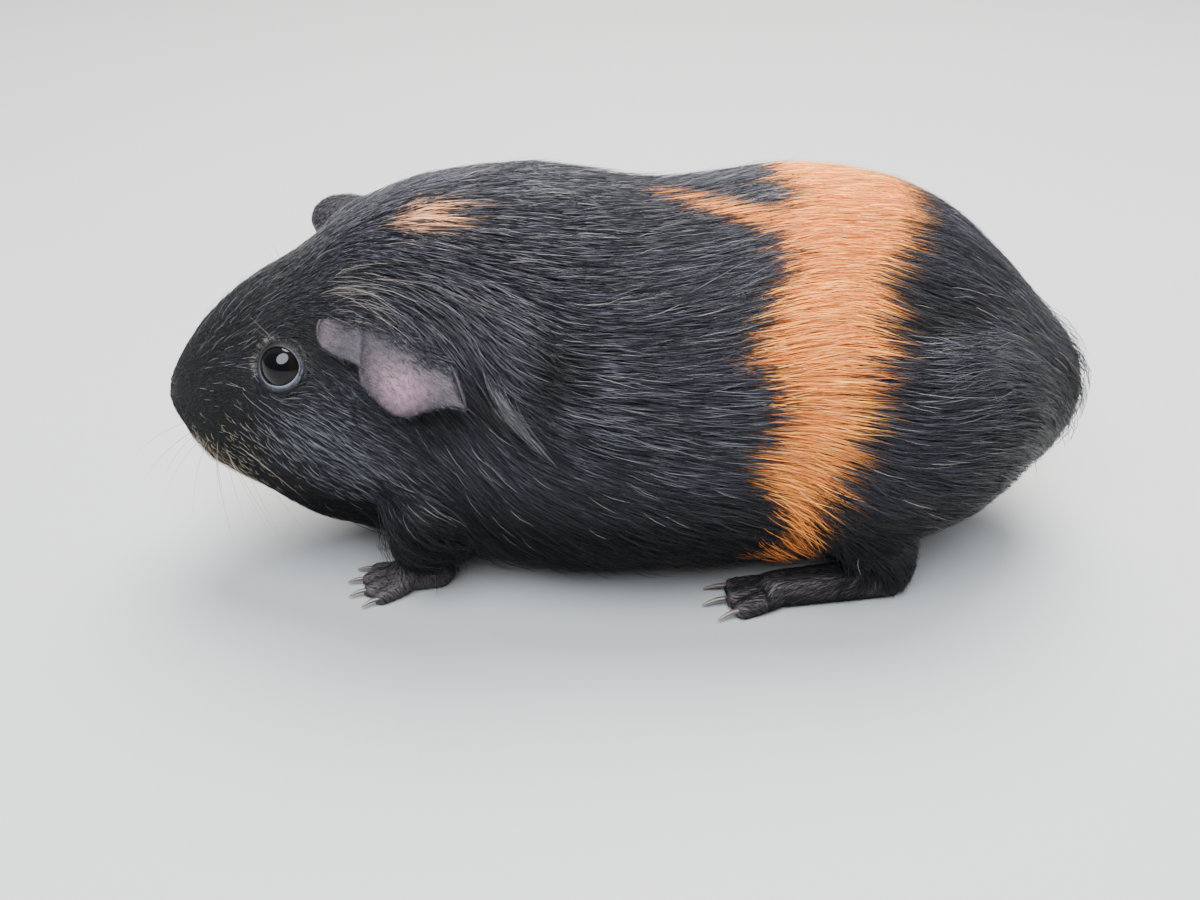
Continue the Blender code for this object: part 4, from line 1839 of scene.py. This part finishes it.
    def strays(self, hairs: "Hairs") -> Thing:
        """Hairs that grow among the coat at some places, on both sides.

        Args:
            hairs: What they are like and where they grow.

        Returns:
            The piece.
        """
        middles = left_side(self.skin.middles())
        near = np.zeros(len(middles))
        for at, reach, density in hairs.where:
            near = np.maximum(near, density * nearness(middles, at, reach))
        seeds = self.seeds(self.skin, near, Draw.STRAYS)
        seeds.draw(self.rng, hairs)
        seeds.lengths = np.minimum(seeds.lengths, 1 + 0.7 * seeds.roots[:, 2])
        return self.piece(hairs.name, seeds, 4)


@dataclass(frozen=True)
class Hairs:
    """Longer or differently coloured hairs that grow among the coat, in millimetres.

    A spread is the usual turn of a hair from the lie of the coat, in radians.
    """

    name: str
    length: tuple[float, float]
    width: tuple[float, float]
    lift: tuple[float, float]
    spread: float
    where: tuple  # at, reach, and hairs to a square millimetre at the middle
    colours: tuple = ()  # two colours, or none for the coat's own


@dataclass(frozen=True)
class Fur:
    """Short even hair, in millimetres."""

    density: float  # hairs to a square millimetre
    seed: Draw
    length: tuple[float, float]
    lift: tuple[float, float]
    width: tuple[float, float]
    spread: float = 0.0  # 0 for the coat's own spread


EAR_BACK = Fur(1.7, Draw.EAR_BACK, (2.4, 4.4), (0.2, 0.6), (0.13, 0.22))
EAR_FUZZ = Fur(1.8, Draw.EAR_FUZZ, (1.2, 2.4), (0.15, 0.5), (0.05, 0.09), 0.3)
LID_FUR = Fur(9.0, Draw.LIDS, (0.9, 2.0), (0.10, 0.35), (0.08, 0.14))

# Each with its name, length, width, lift and spread.
STRAYS = (
    Hairs(
        "coat_mane", (12, 19), (0.15, 0.26), (3.0, 5.2), 0.10,
        where=(
            ((-47, -32, 86), (9, 6, 7), 1.3), ((-57, -27, 90), (8, 5, 5), 0.8),
            ((-40, -38, 77), (6, 5, 7), 0.8),
        ),
    ),
    Hairs(
        "coat_haunch", (15, 24), (0.15, 0.26), (3.2, 5.2), 0.13,
        where=(
            ((63, -43, 72), (6, 6, 7), 1.0), ((80, -38, 62), (10, 8, 9), 0.5),
            ((104, -14, 56), (8, 16, 8), 0.4),
        ),
    ),
    Hairs(
        "coat_apron", (13, 22), (0.14, 0.24), (2.8, 4.6), 0.16,
        where=(
            ((34, -49, 38), (7, 8, 9), 0.7), ((-58, -30, 26), (14, 10, 10), 0.5),
            ((0, -44, 26), (30, 8, 8), 0.35),
        ),
    ),
    Hairs(
        "hairs_brow", (9, 20), (0.05, 0.09), (2.2, 4.2), 0.13,
        where=(
            ((-76, -21, 84), (6, 4, 4), 0.60), ((-68, -22, 88), (8, 4, 4), 0.17),
            ((-56, -27, 89), (10, 7, 6), 0.12),
        ),
        colours=((0.29, 0.245, 0.195), (0.155, 0.145, 0.138)),
    ),
    Hairs(
        "hairs_flank", (7, 14), (0.06, 0.10), (2.4, 3.3), 0.10,
        where=(
            ((-30, -25, 88), (30, 26, 22), 0.030), ((0, -46, 60), (45, 20, 30), 0.016),
            ((75, -40, 60), (30, 25, 30), 0.03), ((-60, -42, 45), (20, 12, 20), 0.04),
        ),
        colours=((0.30, 0.25, 0.22), (0.19, 0.185, 0.20)),
    ),
    # Paler bluish hairs as painted sheen on haunch, shoulder, mane, back and flank.
    Hairs(
        "hairs_painted_sheen", (8, 16), (0.06, 0.10), (2.3, 3.5), 0.10,
        where=(
            ((66, -42, 74), (8, 5, 5), 0.50), ((84, -36, 71), (13, 8, 6), 0.32),
            ((76, -46, 60), (13, 6, 8), 0.22), ((-17, -46, 66), (9, 6, 10), 0.36),
            ((-45, -37, 81), (8, 6, 8), 0.34), ((10, -20, 98), (40, 20, 12), 0.06),
            ((4, -49, 60), (17, 7, 11), 0.20),
        ),
        colours=((0.12, 0.118, 0.132), (0.065, 0.065, 0.077)),
    ),
    Hairs(
        "hairs_muzzle", (1.6, 3.2), (0.07, 0.11), (0.4, 1.1), 0.22,
        where=(
            ((-111, -12, 41), (5, 5, 5), 2.0), ((-106, -14, 36), (7, 7, 7), 1.3),
            ((-100, -19, 46), (9, 8, 8), 0.6), ((-110, -4, 34), (5, 6, 5), 1.5),
        ),
        colours=((0.30, 0.235, 0.14), (0.19, 0.17, 0.125)),
    ),
    # Grey-blue hairs as painted sheen on cheek, jaw and the bridge of the nose.
    Hairs(
        "hairs_cheek_painted_sheen", (3.5, 7), (0.07, 0.11), (0.8, 1.5), 0.12,
        where=(
            ((-86, -29, 54), (11, 9, 9), 0.9), ((-74, -34, 46), (14, 9, 12), 0.75),
            ((-100, -10, 68), (12, 12, 10), 0.2),
        ),
        colours=((0.15, 0.15, 0.17), (0.095, 0.095, 0.118)),
    ),
)


@dataclass(frozen=True)
class Lock:
    """A lock of pale hairs that gathers behind the ear, in millimetres."""

    side: str
    path: tuple = (
        (0, -46.5, -37.0, 80.0), (0.35, -41.5, -40.7, 69.1), (0.6, -36.5, -43.6, 63.0),
        (1, -25.0, -48.7, 49.5),
    )
    count: int = 95

    def build(self, coat: Coat) -> Thing:
        """Lays the hairs side by side on the coat.

        Args:
            coat: The coat that it lies on.

        Returns:
            The piece.
        """
        rng = np.random.default_rng(Draw.LOCK)
        path = np.array(self.path, float) * (1, 1, -SIDES[self.side], 1)
        start = 0.16 + rng.beta(1.6, 1.5, self.count) * 0.50
        off = rng.normal(size=self.count)
        lines, outs = [], []
        for t in np.linspace(0, 1, 5):
            share = np.minimum(start + t * rng.uniform(0.30, 0.42, self.count), 1.0)
            place = catmull(path, share)
            wide = 2.4 * (1 - share) ** 1.5 + 0.30 + 1.2 * np.clip(share - 0.8, 0, 1)
            ways = catmull(path, np.minimum(share + 0.02, 1)) - catmull(path, share - 0.02)
            spot, normal = coat.drape.nearest(place)
            across = unit(np.cross(unit(ways), normal))
            place = spot + across * (off * wide)[:, None]
            lift = 3.1 * HEIGHTS[4][round(t * 4)] + 0.5 * np.abs(np.sin(off * 9))
            lines.append(place + normal * lift[:, None])
            outs.append(normal)
        lines, outs = np.stack(lines, 1), np.stack(outs, 1)
        widths = rng.uniform(0.07, 0.12, self.count)[:, None] * np.array(TAPERS[4])[None]
        roll = rng.uniform(-0.5, 0.5, self.count)
        return tuft_object(f"hairs_lock_{self.side}", lines, outs, widths, lines[:, 2], roll)


@dataclass(frozen=True)
class Bristles:
    """Whiskers and lashes: stiff hairs that stand free, in millimetres."""

    thick: float
    curve: float
    steps: int = 6

    def build(self, name: str, roots: Points, ways: Points, lengths: Points, sag: Points) -> Thing:
        """Models the bristles.

        Args:
            name: The object's name.
            roots: Where they root.
            ways: Their ways at the root.
            lengths: Their lengths.
            sag: The way each bends towards its tip.

        Returns:
            The object.
        """
        t = np.linspace(0, 1, self.steps + 1)[None, :, None]
        along = lengths[:, None, None] * t
        lines = roots[:, None] + unit(ways)[:, None] * along
        lines = lines + unit(sag)[:, None] * along * t * self.curve
        outs = np.broadcast_to(np.array((0.1, 0.2, 1.0)), lines.shape)
        widths = self.thick * (1 - 0.85 * t[..., 0]) * np.ones((len(roots), 1))
        return tuft_object(name, lines, outs, widths, lines[:, 0], np.zeros(len(roots)))


@dataclass(frozen=True)
class Whiskers:
    """The whiskers of one side: pads, chin and brow."""

    side: str
    # root, way and length of each, for the left side
    hairs: tuple = (
        ((-114.5, -10.5, 47.5), (-0.85, -0.75, 0.10), 19),
        ((-113.0, -11.5, 45.5), (-0.75, -0.85, -0.05), 21),
        ((-112.0, -12.5, 43.5), (-0.70, -0.80, -0.35), 17),
        ((-110.0, -14.0, 47.5), (-0.45, -1.0, 0.15), 24),
        ((-109.0, -14.5, 45.0), (-0.20, -1.0, -0.15), 25),
        ((-108.0, -15.0, 42.5), (0.10, -0.9, -0.45), 25),
        ((-106.0, -16.5, 47.0), (0.05, -1.0, 0.10), 27),
        ((-105.0, -17.0, 44.0), (0.35, -0.9, -0.25), 28),
        ((-104.5, -16.5, 41.0), (0.45, -0.7, -0.60), 24),
        ((-102.0, -18.5, 46.0), (0.60, -0.8, 0.0), 25),
        ((-108.5, -9.0, 34.0), (0.10, -0.35, -0.95), 17),
        ((-104.0, -11.0, 30.5), (0.35, -0.45, -0.90), 19),
        ((-100.0, -12.0, 27.0), (0.55, -0.40, -0.80), 15),
        ((-111.0, -6.0, 34.5), (-0.30, -0.15, -0.95), 11),
        ((-93.0, -22.5, 76.5), (-0.45, -0.35, 0.85), 13),
        ((-95.0, -21.0, 75.0), (-0.60, -0.30, 0.75), 10),
    )

    def build(self, skin: Surface) -> Thing:
        """Models the whiskers, rooted in the skin.

        Args:
            skin: The skin that they root in.

        Returns:
            The piece.
        """
        mirror = (1, -SIDES[self.side], 1)
        roots, ways, lengths = (np.array(part, float) for part in zip(*self.hairs, strict=True))
        spots, normals = skin.nearest(roots * mirror)
        sag = np.tile((0.55, 0, -0.8), (len(roots), 1))
        start = spots - normals * 0.5
        return Bristles(0.17, 0.24).build(
            f"whiskers_{self.side}", start, ways * mirror, lengths, sag
        )


@dataclass(frozen=True)
class Ball:
    """A rounded stretch of space, in millimetres."""

    middle: Points
    radii: tuple[float, float, float]


# ---- ears


@dataclass(frozen=True)
class Ear:
    """A thin ear, from its root line on the head to its free edge, in millimetres."""

    side: str
    root: tuple
    edge: tuple
    arch: float  # how far the ear bows outwards, as a share of its reach
    furrow: float  # how far the ear is pinched in behind the front lobe
    furred: float  # share of the reach that fur covers
    furred_to: float  # fur covers the whole ear in front of this x
    fur_length: float
    columns: int = 60
    rows: int = 16
    thick: float = 0.75

    def reach_share(self, places: Points) -> Points:
        """How far places lie from root line (0) to free edge (1).

        Args:
            places: Places in millimetres.

        Returns:
            The shares.
        """
        to_root = distance_to_line(places, np.array(self.root, float)[:, 1:])[0]
        to_edge = distance_to_line(places, np.array(self.edge, float)[:, 1:])[0]
        return to_root / (to_root + to_edge)

    def build(self, skin: Surface) -> Thing:
        """Models the ear, rooted under the skin.

        Args:
            skin: The skin that it roots in.

        Returns:
            The piece.
        """
        shares = np.linspace(0, 1, self.columns + 1)
        spots, normals = skin.nearest(catmull(np.array(self.root, float), shares))
        root = spots - normals * 1.5
        edge = catmull(np.array(self.edge, float), shares)
        reach = np.linalg.norm(edge - root, axis=1, keepdims=True)
        bow = (root * 0.45 + edge * 0.55) + normals * self.arch * reach
        bow -= normals * self.furrow * hump(shares - 0.385, 0.055)[:, None]
        t = np.linspace(0, 1, self.rows + 1)[:, None, None]
        rows = (1 - t) ** 2 * root + 2 * t * (1 - t) * bow + t**2 * edge
        rows += hump(t - 1, 0.12) * normals * 0.45
        made = sheet_object(f"ear_{self.side}_skin", rows)
        middle = hump(shares - 0.66, 0.135) + 0.08 * hump(shares - 0.2, 0.12)
        carry(made, "glow", (hump(t - 0.70, 0.23) * middle[None, :, None]).ravel())
        apply(made, "SOLIDIFY", thickness=self.thick * MM, offset=0)
        round_off(made)
        facing = dot(normals_of(made), places_of(made) - HEAD_MIDDLE)[:, 0]
        carried = made.data.attributes["glow"].data
        glow = read(carried, "value", 1)[:, 0] * rise(facing, -6, 2)
        carried.foreach_set("value", glow.astype(np.float32))
        return made

    def fringe(self) -> Thing:
        """Pale hairs that stand out from the rim of the front lobe.

        Returns:
            The piece.
        """
        rng = np.random.default_rng(Draw.FRINGE)
        shares = np.concatenate([rng.uniform(0.0, 0.42, 110), rng.uniform(0.42, 0.75, 24)])
        edge = catmull(np.array(self.edge, float), shares)
        root = catmull(np.array(self.root, float), shares)
        ways = unit(edge - root) + rng.normal(size=edge.shape) * 0.35 + np.array((0.45, 0, -0.25))
        lengths = rng.uniform(0.9, 2.4, len(shares)) * np.where(shares < 0.42, 1, 0.6)
        sag = np.tile((0.5, 0, -0.8), (len(shares), 1))
        start = edge - unit(edge - root) * 0.5
        return Bristles(0.11, 0.3, 2).build(f"fringe_ear_{self.side}", start, ways, lengths, sag)


EARS = (
    Ear(
        "left",
        root=(
            (0, -78.8, -23.5, 80.0), (0.3, -72.5, -25.0, 82.0), (0.6, -63.5, -28.5, 82.0),
            (0.85, -55.5, -34.0, 79.0), (1, -51.0, -38.0, 75.5),
        ),
        edge=(
            (0.0, -79.4, -25.3, 80.2), (0.08, -80.1, -27.5, 78.7), (0.16, -79.3, -30.0, 75.8),
            (0.24, -75.7, -32.5, 74.1), (0.32, -72.2, -34.5, 73.4), (0.365, -70.2, -36.0, 72.6),
            (0.40, -70.5, -37.5, 70.5), (0.46, -69.0, -39.5, 68.7), (0.54, -65.7, -42.5, 66.0),
            (0.62, -62.2, -44.5, 64.6), (0.70, -59.0, -45.8, 65.0), (0.78, -55.3, -46.5, 66.7),
            (0.86, -51.2, -47.2, 67.7), (0.92, -48.1, -47.8, 67.9), (0.95, -46.5, -48.0, 67.2),
            (0.975, -46.9, -47.0, 69.5), (1.0, -48.3, -44.0, 73.0),
        ),
        arch=0.20,
        furrow=1.8,
        furred=0.40,
        furred_to=-99.0,
        fur_length=6.5,
    ),
    Ear(
        "right",
        root=(
            (0, -79.5, 23.5, 80.0), (0.3, -72.5, 25.0, 83.0), (0.6, -63.5, 28.5, 83.0),
            (0.85, -55.5, 34.0, 80.0), (1, -51.0, 38.0, 75.5),
        ),
        edge=(
            (0.0, -83.6, 27.0, 80.5), (0.1, -85.2, 32.0, 82.0), (0.2, -84.2, 36.5, 84.2),
            (0.3, -80.8, 39.8, 85.4), (0.385, -76.4, 41.6, 85.2), (0.46, -72.0, 43.6, 83.8),
            (0.56, -66.3, 46.6, 80.8), (0.67, -60.6, 49.2, 77.0), (0.78, -55.4, 50.6, 73.4),
            (0.88, -51.0, 50.2, 70.0), (0.95, -48.8, 47.6, 69.8), (1.0, -50.0, 42.0, 74.5),
        ),
        arch=0.30,
        furrow=1.4,
        furred=0.6,
        furred_to=-68.0,
        fur_length=5.0,
    ),
)


# ---- eyes


@dataclass(frozen=True)
class Eye:
    """An eyeball with its lids."""

    side: str
    axis: tuple[float, float, float] = (-0.32, -0.86, 0.40)
    opening: float = 4.75  # radius of the gap between the lids
    corner: float = 0.7  # how far the gap runs on into its front corner
    corner_at: float = -0.7  # turn of that corner from straight ahead, in radians
    rim: float = 6.7  # radius at which the lids run out into the skin
    lid: float = 1.15  # width of pale bare lid
    corner_lid: float = 0.9  # extra width of pale lid at the front corner
    cornea: float = 0.35
    segments: int = 72

    def frame(self) -> tuple[Points, Points, Points, Points, float]:
        """The eyeball's middle, its outward, forward and up ways, and its radius.

        Returns:
            The middle, the three ways and the radius.
        """
        low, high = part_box(f"eye_{self.side}")
        middle = np.array((low + high) / 2) / MM
        radius = (high - low).z / 2 / MM
        out = unit(np.array(self.axis) * (1, -SIDES[self.side], 1))
        forward = unit(np.array([-1, 0, 0]) + out * out[0])
        up = np.cross(forward, out) * -SIDES[self.side]
        up = unit(up * np.sign(up[2]))
        return middle + forward * 0.5 + up * 0.6, out, forward, up, radius

    def ball(self) -> Thing:
        """The eyeball, with a slightly raised clear front.

        Returns:
            The piece.
        """
        middle, out, _, _, radius = self.frame()
        bpy.ops.object.select_all(action="DESELECT")
        bpy.ops.mesh.primitive_uv_sphere_add(segments=64, ring_count=40, radius=radius * MM)
        made = bpy.context.object
        made.name = f"eye_{self.side}_ball"
        turn = Vector((0, 0, 1)).rotation_difference(Vector(out)).to_matrix()
        points = places_of(made) @ np.array(turn).T
        off = np.arccos(np.clip(points @ out / radius, -1, 1))
        points *= (1 + self.cornea / radius * hump(off, 0.5))[:, None]
        write_points(made, points + middle)
        carry(made, "ring", np.clip(off / 0.95, 0, 1))
        made.data.shade_smooth()
        return made

    def lids(self, skin: Surface) -> Thing:
        """The bare rim of both lids, a closed ring that hugs the eyeball.

        Args:
            skin: The skin that they run into.

        Returns:
            The piece.
        """
        middle, out, forward, up, radius = self.frame()
        angles = np.linspace(0, 2 * math.pi, self.segments, endpoint=False)
        front = hump(wrapped(angles - self.corner_at), 0.42)
        back = hump(wrapped(angles - math.pi - 0.1), 0.5)
        brow = hump(wrapped(angles - math.pi / 2), 0.9)
        under = hump(wrapped(angles + math.pi / 2 + 0.3), 0.8)
        gap = self.opening + self.corner * front + 0.3 * back - 0.2 * brow
        pale = self.lid + self.corner_lid * front + 0.1 * back - 0.5 * brow
        end = self.rim + 0.4 * front - 0.45 * brow + 0.7 * under
        # Painted light and shade round the ring: the crest is paler below the eye and darker above.
        lit = 0.08 + 0.92 * (0.5 - 0.5 * np.sin(angles + 0.35)) ** 1.1
        wrinkle = 0.09 * np.sin(angles * 19 + 1.7 * np.sin(angles * 5))
        wrinkle = wrinkle + 0.06 * np.sin(angles * 31 + 1)
        around = np.cos(angles)[:, None] * forward + np.sin(angles)[:, None] * up
        ball = np.sqrt(np.maximum(radius**2 - gap**2, 0.2))
        starts = middle + around * (end + 0.3)[:, None] + out * 14
        ground = np.array([(skin.along(start, -out) - middle) @ out for start in starts])
        rows, crest = [], []
        # From the edge on the eyeball, over the lid, to the skin and back beneath it: a step from
        # the gap's edge, the share of the way out to the skin, the height and the paleness.
        for share, over, height, shine in (
            (-0.35, 0, ball - 1.2, 0.0),
            (-0.08, 0, ball + 0.02, 0.5),
            (0.06, 0, ball + 0.28, 1.0),
            (0.28, 0, ball + 0.42, 1.0),
            (0.30, 0.2, ball * 0.8 + ground * 0.2 + 0.16, 0.30),
            (0.30, 0.45, ball * 0.5 + ground * 0.5 + 0.58, 0.85),
            (0.30, 0.7, ball * 0.25 + ground * 0.75 + 0.42, 0.5),
            (0.0, 1.0, ground + 0.05, 0.1),
            (0.9, 1.0, ground - 0.8, 0.0),
            (0.6, 0.4, ground - 2.6, 0.0),
        ):
            off = gap + share + over * (end - gap - share * (over < 1))
            cover = np.sqrt(np.maximum(radius**2 - off**2, 0)) + 0.28
            if shine > 0 and (share > 0.1 or over > 0):
                height = np.maximum(height, cover)
            height = height + wrinkle * over * (1 - over) * 4
            rows.append(middle + around * off[:, None] + out * height[:, None])
            crest.append(shine * lit * rise(off - gap, pale + 0.35, pale - 0.25))
        made = ring_object(f"eye_{self.side}_lids", np.stack(rows))
        carry(made, "crest", np.stack(crest, 1).ravel())
        round_off(made)
        return made

    def lashes(self) -> Thing:
        """Short pale lashes round the front and top of the eye.

        Returns:
            The piece.
        """
        rng = np.random.default_rng(Draw.LASHES)
        middle, out, forward, up, radius = self.frame()
        angles = np.concatenate([rng.uniform(-0.35, 1.25, 60), rng.uniform(1.25, 2.0, 10)])
        radial = np.cos(angles)[:, None] * forward + np.sin(angles)[:, None] * up
        off = (self.opening + 0.95 + rng.uniform(-0.1, 0.35, len(angles)))[:, None]
        roots = middle + radial * off + out * math.sqrt(radius**2 - self.opening**2)
        ways = radial * 0.9 + out * 0.45 + rng.normal(size=radial.shape) * 0.12
        lengths = rng.uniform(1.2, 2.3, len(angles))
        sag = out - radial * 0.3
        return Bristles(0.13, 0.2, 2).build(f"lashes_{self.side}", roots, ways, lengths, sag)


def wrapped(angles: Points) -> Points:
    """Angles brought between minus pi and pi."""
    return (angles + math.pi) % (2 * math.pi) - math.pi


# ---- claws


@dataclass(frozen=True)
class Claws:
    """The claws, each rounded from its solid, with its root drawn back into the toe."""

    root_long: float = 1.5
    root_deep: float = 1.2

    def build(self, frame_nodes: dict, finish: bpy.types.Material) -> None:
        """Makes a smooth claw for each claw node.

        Args:
            frame_nodes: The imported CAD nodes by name.
            finish: The horn's material.
        """
        for name in sorted(frame_nodes):
            if not name.startswith("claw_"):
                continue
            made = welded_copy(frame_nodes[name], f"{name}_horn")
            apply(made, "SUBSURF", levels=2, render_levels=2)
            points = places_of(made)
            x = points[:, 0]
            points[:, 0] += self.root_deep * rise(x, x.max() - self.root_long, x.max())
            write_points(made, points)
            carry(made, "tip", rise(x, x.max(), x.min()))
            made.data.shade_smooth()
            hand_in(made, finish, Slot.CLAW, name)


# ---- studio


@dataclass(frozen=True)
class Studio:
    """Floor, light and camera."""

    azimuth: float = -7.0  # degrees from straight at the left side
    elevation: float = 31.4
    roll: float = 1.0
    distance: float = 359.0  # millimetres from the target
    target: tuple[float, float, float] = (-10.3, 0.0, 25.7)
    lens: float = 39.0
    sensor: float = 36.0
    lit_point: tuple[float, float, float] = (-0.01, 0, 0.05)  # where the lights aim, in metres

    def build(self) -> None:
        """Sets up the whole studio."""
        self.floor()
        self.lights()
        self.camera()

    def floor(self) -> None:
        """A broad pale floor at the animal's feet."""
        bpy.ops.object.select_all(action="DESELECT")
        bpy.ops.mesh.primitive_plane_add(size=12, location=(0, 0, 0))
        made = bpy.context.object
        made.name = "floor"
        made.data.materials.append(FloorFinish().make())

    def lights(self) -> None:
        """Soft light from overhead, a gentle key at the left front, and a pale room."""
        cool, warm = (0.87, 0.935, 1.0), (1.0, 0.985, 0.955)
        for name, place, power, size, tint in (
            ("key", (-0.22, -0.64, 1.10), 64.0, 1.1, cool),
            ("overhead", (0.15, 0.42, 1.1), 72.0, 1.0, warm),
            ("rim", (0.9, 0.5, 0.5), 5.0, 0.6, cool),
        ):
            lamp = bpy.data.lights.new(name, "AREA")
            lamp.energy = power
            lamp.shape = "DISK"
            lamp.size = size
            lamp.color = tint
            made = add(name, lamp)
            made.location = place
            way = Vector(self.lit_point) - Vector(place)
            made.rotation_euler = way.to_track_quat("-Z", "Y").to_euler()
        world = bpy.data.worlds.new("studio")
        bpy.context.scene.world = world
        world.use_nodes = True
        sky = world.node_tree.nodes["Background"]
        sky.inputs["Color"].default_value = (0.86, 0.90, 0.96, 1)
        sky.inputs["Strength"].default_value = 0.25

    def camera(self) -> None:
        """The camera, from a little above the animal's left side."""
        turn, height, roll = (math.radians(a) for a in (self.azimuth, self.elevation, self.roll))
        level = math.cos(height)
        back = Vector((math.sin(turn) * level, -math.cos(turn) * level, math.sin(height)))
        right = Vector((math.cos(turn), math.sin(turn), 0))
        up = back.cross(right)
        right, up = (
            right * math.cos(roll) + up * math.sin(roll),
            up * math.cos(roll) - right * math.sin(roll),
        )
        lens = bpy.data.cameras.new("camera")
        lens.lens = self.lens
        lens.sensor_width = self.sensor
        lens.clip_start = 0.01
        made = add("camera", lens)
        place = (Vector(self.target) + back * self.distance) * MM
        turned_to = Matrix((right, up, back)).transposed().to_4x4()
        made.matrix_world = Matrix.Translation(place) @ turned_to
        bpy.context.scene.camera = made


# ---- main


def main() -> None:
    """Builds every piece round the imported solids, in order."""
    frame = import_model()
    logging.basicConfig(level=logging.INFO, format="%(relativeCreated)6d %(message)s")
    nodes = frame["nodes"]

    body = Skin()
    skin = body.build(nodes)
    surface = Surface(skin)
    ears = [ear.build(surface) for ear in EARS]
    ear_finish, eye_finish, lid_finish = EarFinish().make(), EyeFinish().make(), LidFinish().make()
    fuzz_finish, lash_finish, whisker_finish, lock_finish = (finish.make() for finish in FINE_HAIRS)
    posts, bare, lids = [], [], []
    for side, sign in SIDES.items():
        eye = Eye(side)
        middle, out, *_ = eye.frame()
        posts.append(Post(middle, out, eye.opening + 0.85))
        bare.append(Ball(np.array(body.nose.nostril) * (1, -sign, 1), (1.6, 1.6, 1.3)))
        hand_in(eye.ball(), eye_finish, Slot.EYE, f"eye_{side}")
        lids.append((eye, hand_in(eye.lids(surface), lid_finish, Slot.SKIN)))
        hand_in(eye.lashes(), lash_finish, Slot.COAT)
        hand_in(Whiskers(side).build(surface), whisker_finish, Slot.COAT)
    coat = Coat(surface, Surface(skin, *ears, *(made for _, made in lids)), Lie(posts), bare)
    coat_finish = CoatFinish().make()
    for eye, made in lids:
        out = eye.frame()[1]
        front = functools.partial(Seeds.face, way=out)
        fur = coat.fur(f"coat_lids_{eye.side}", LID_FUR, Surface(made), front)
        hand_in(fur, coat_finish, Slot.COAT)
    for piece in coat.grow():
        hand_in(piece, coat_finish, Slot.COAT)
    for hairs in STRAYS:
        finish = HairFinish(hairs.name, *hairs.colours).make() if hairs.colours else coat_finish
        hand_in(coat.strays(hairs), finish, Slot.COAT)
    for ear, made in zip(EARS, ears, strict=True):
        own = Surface(made)
        hand_in(coat.ear_cover(ear, own), coat_finish, Slot.COAT)
        back = coat.fur(f"coat_ear_{ear.side}_back", EAR_BACK, own, Seeds.face_head)
        hand_in(back, coat_finish, Slot.COAT)
        fuzz = coat.fur(f"fuzz_ear_{ear.side}", EAR_FUZZ, own, Seeds.face_away)
        hand_in(fuzz, fuzz_finish, Slot.COAT)
        hand_in(ear.fringe(), lash_finish, Slot.COAT)
        hand_in(Lock(ear.side).build(coat), lock_finish, Slot.COAT)
        hand_in(made, ear_finish, Slot.SKIN, f"ear_{ear.side}")
    hand_in(skin, SkinFinish().make(), Slot.COAT, *body.flesh)
    Claws().build(nodes, ClawFinish().make())
    Studio().build()


if __name__ == "__main__":
    main()
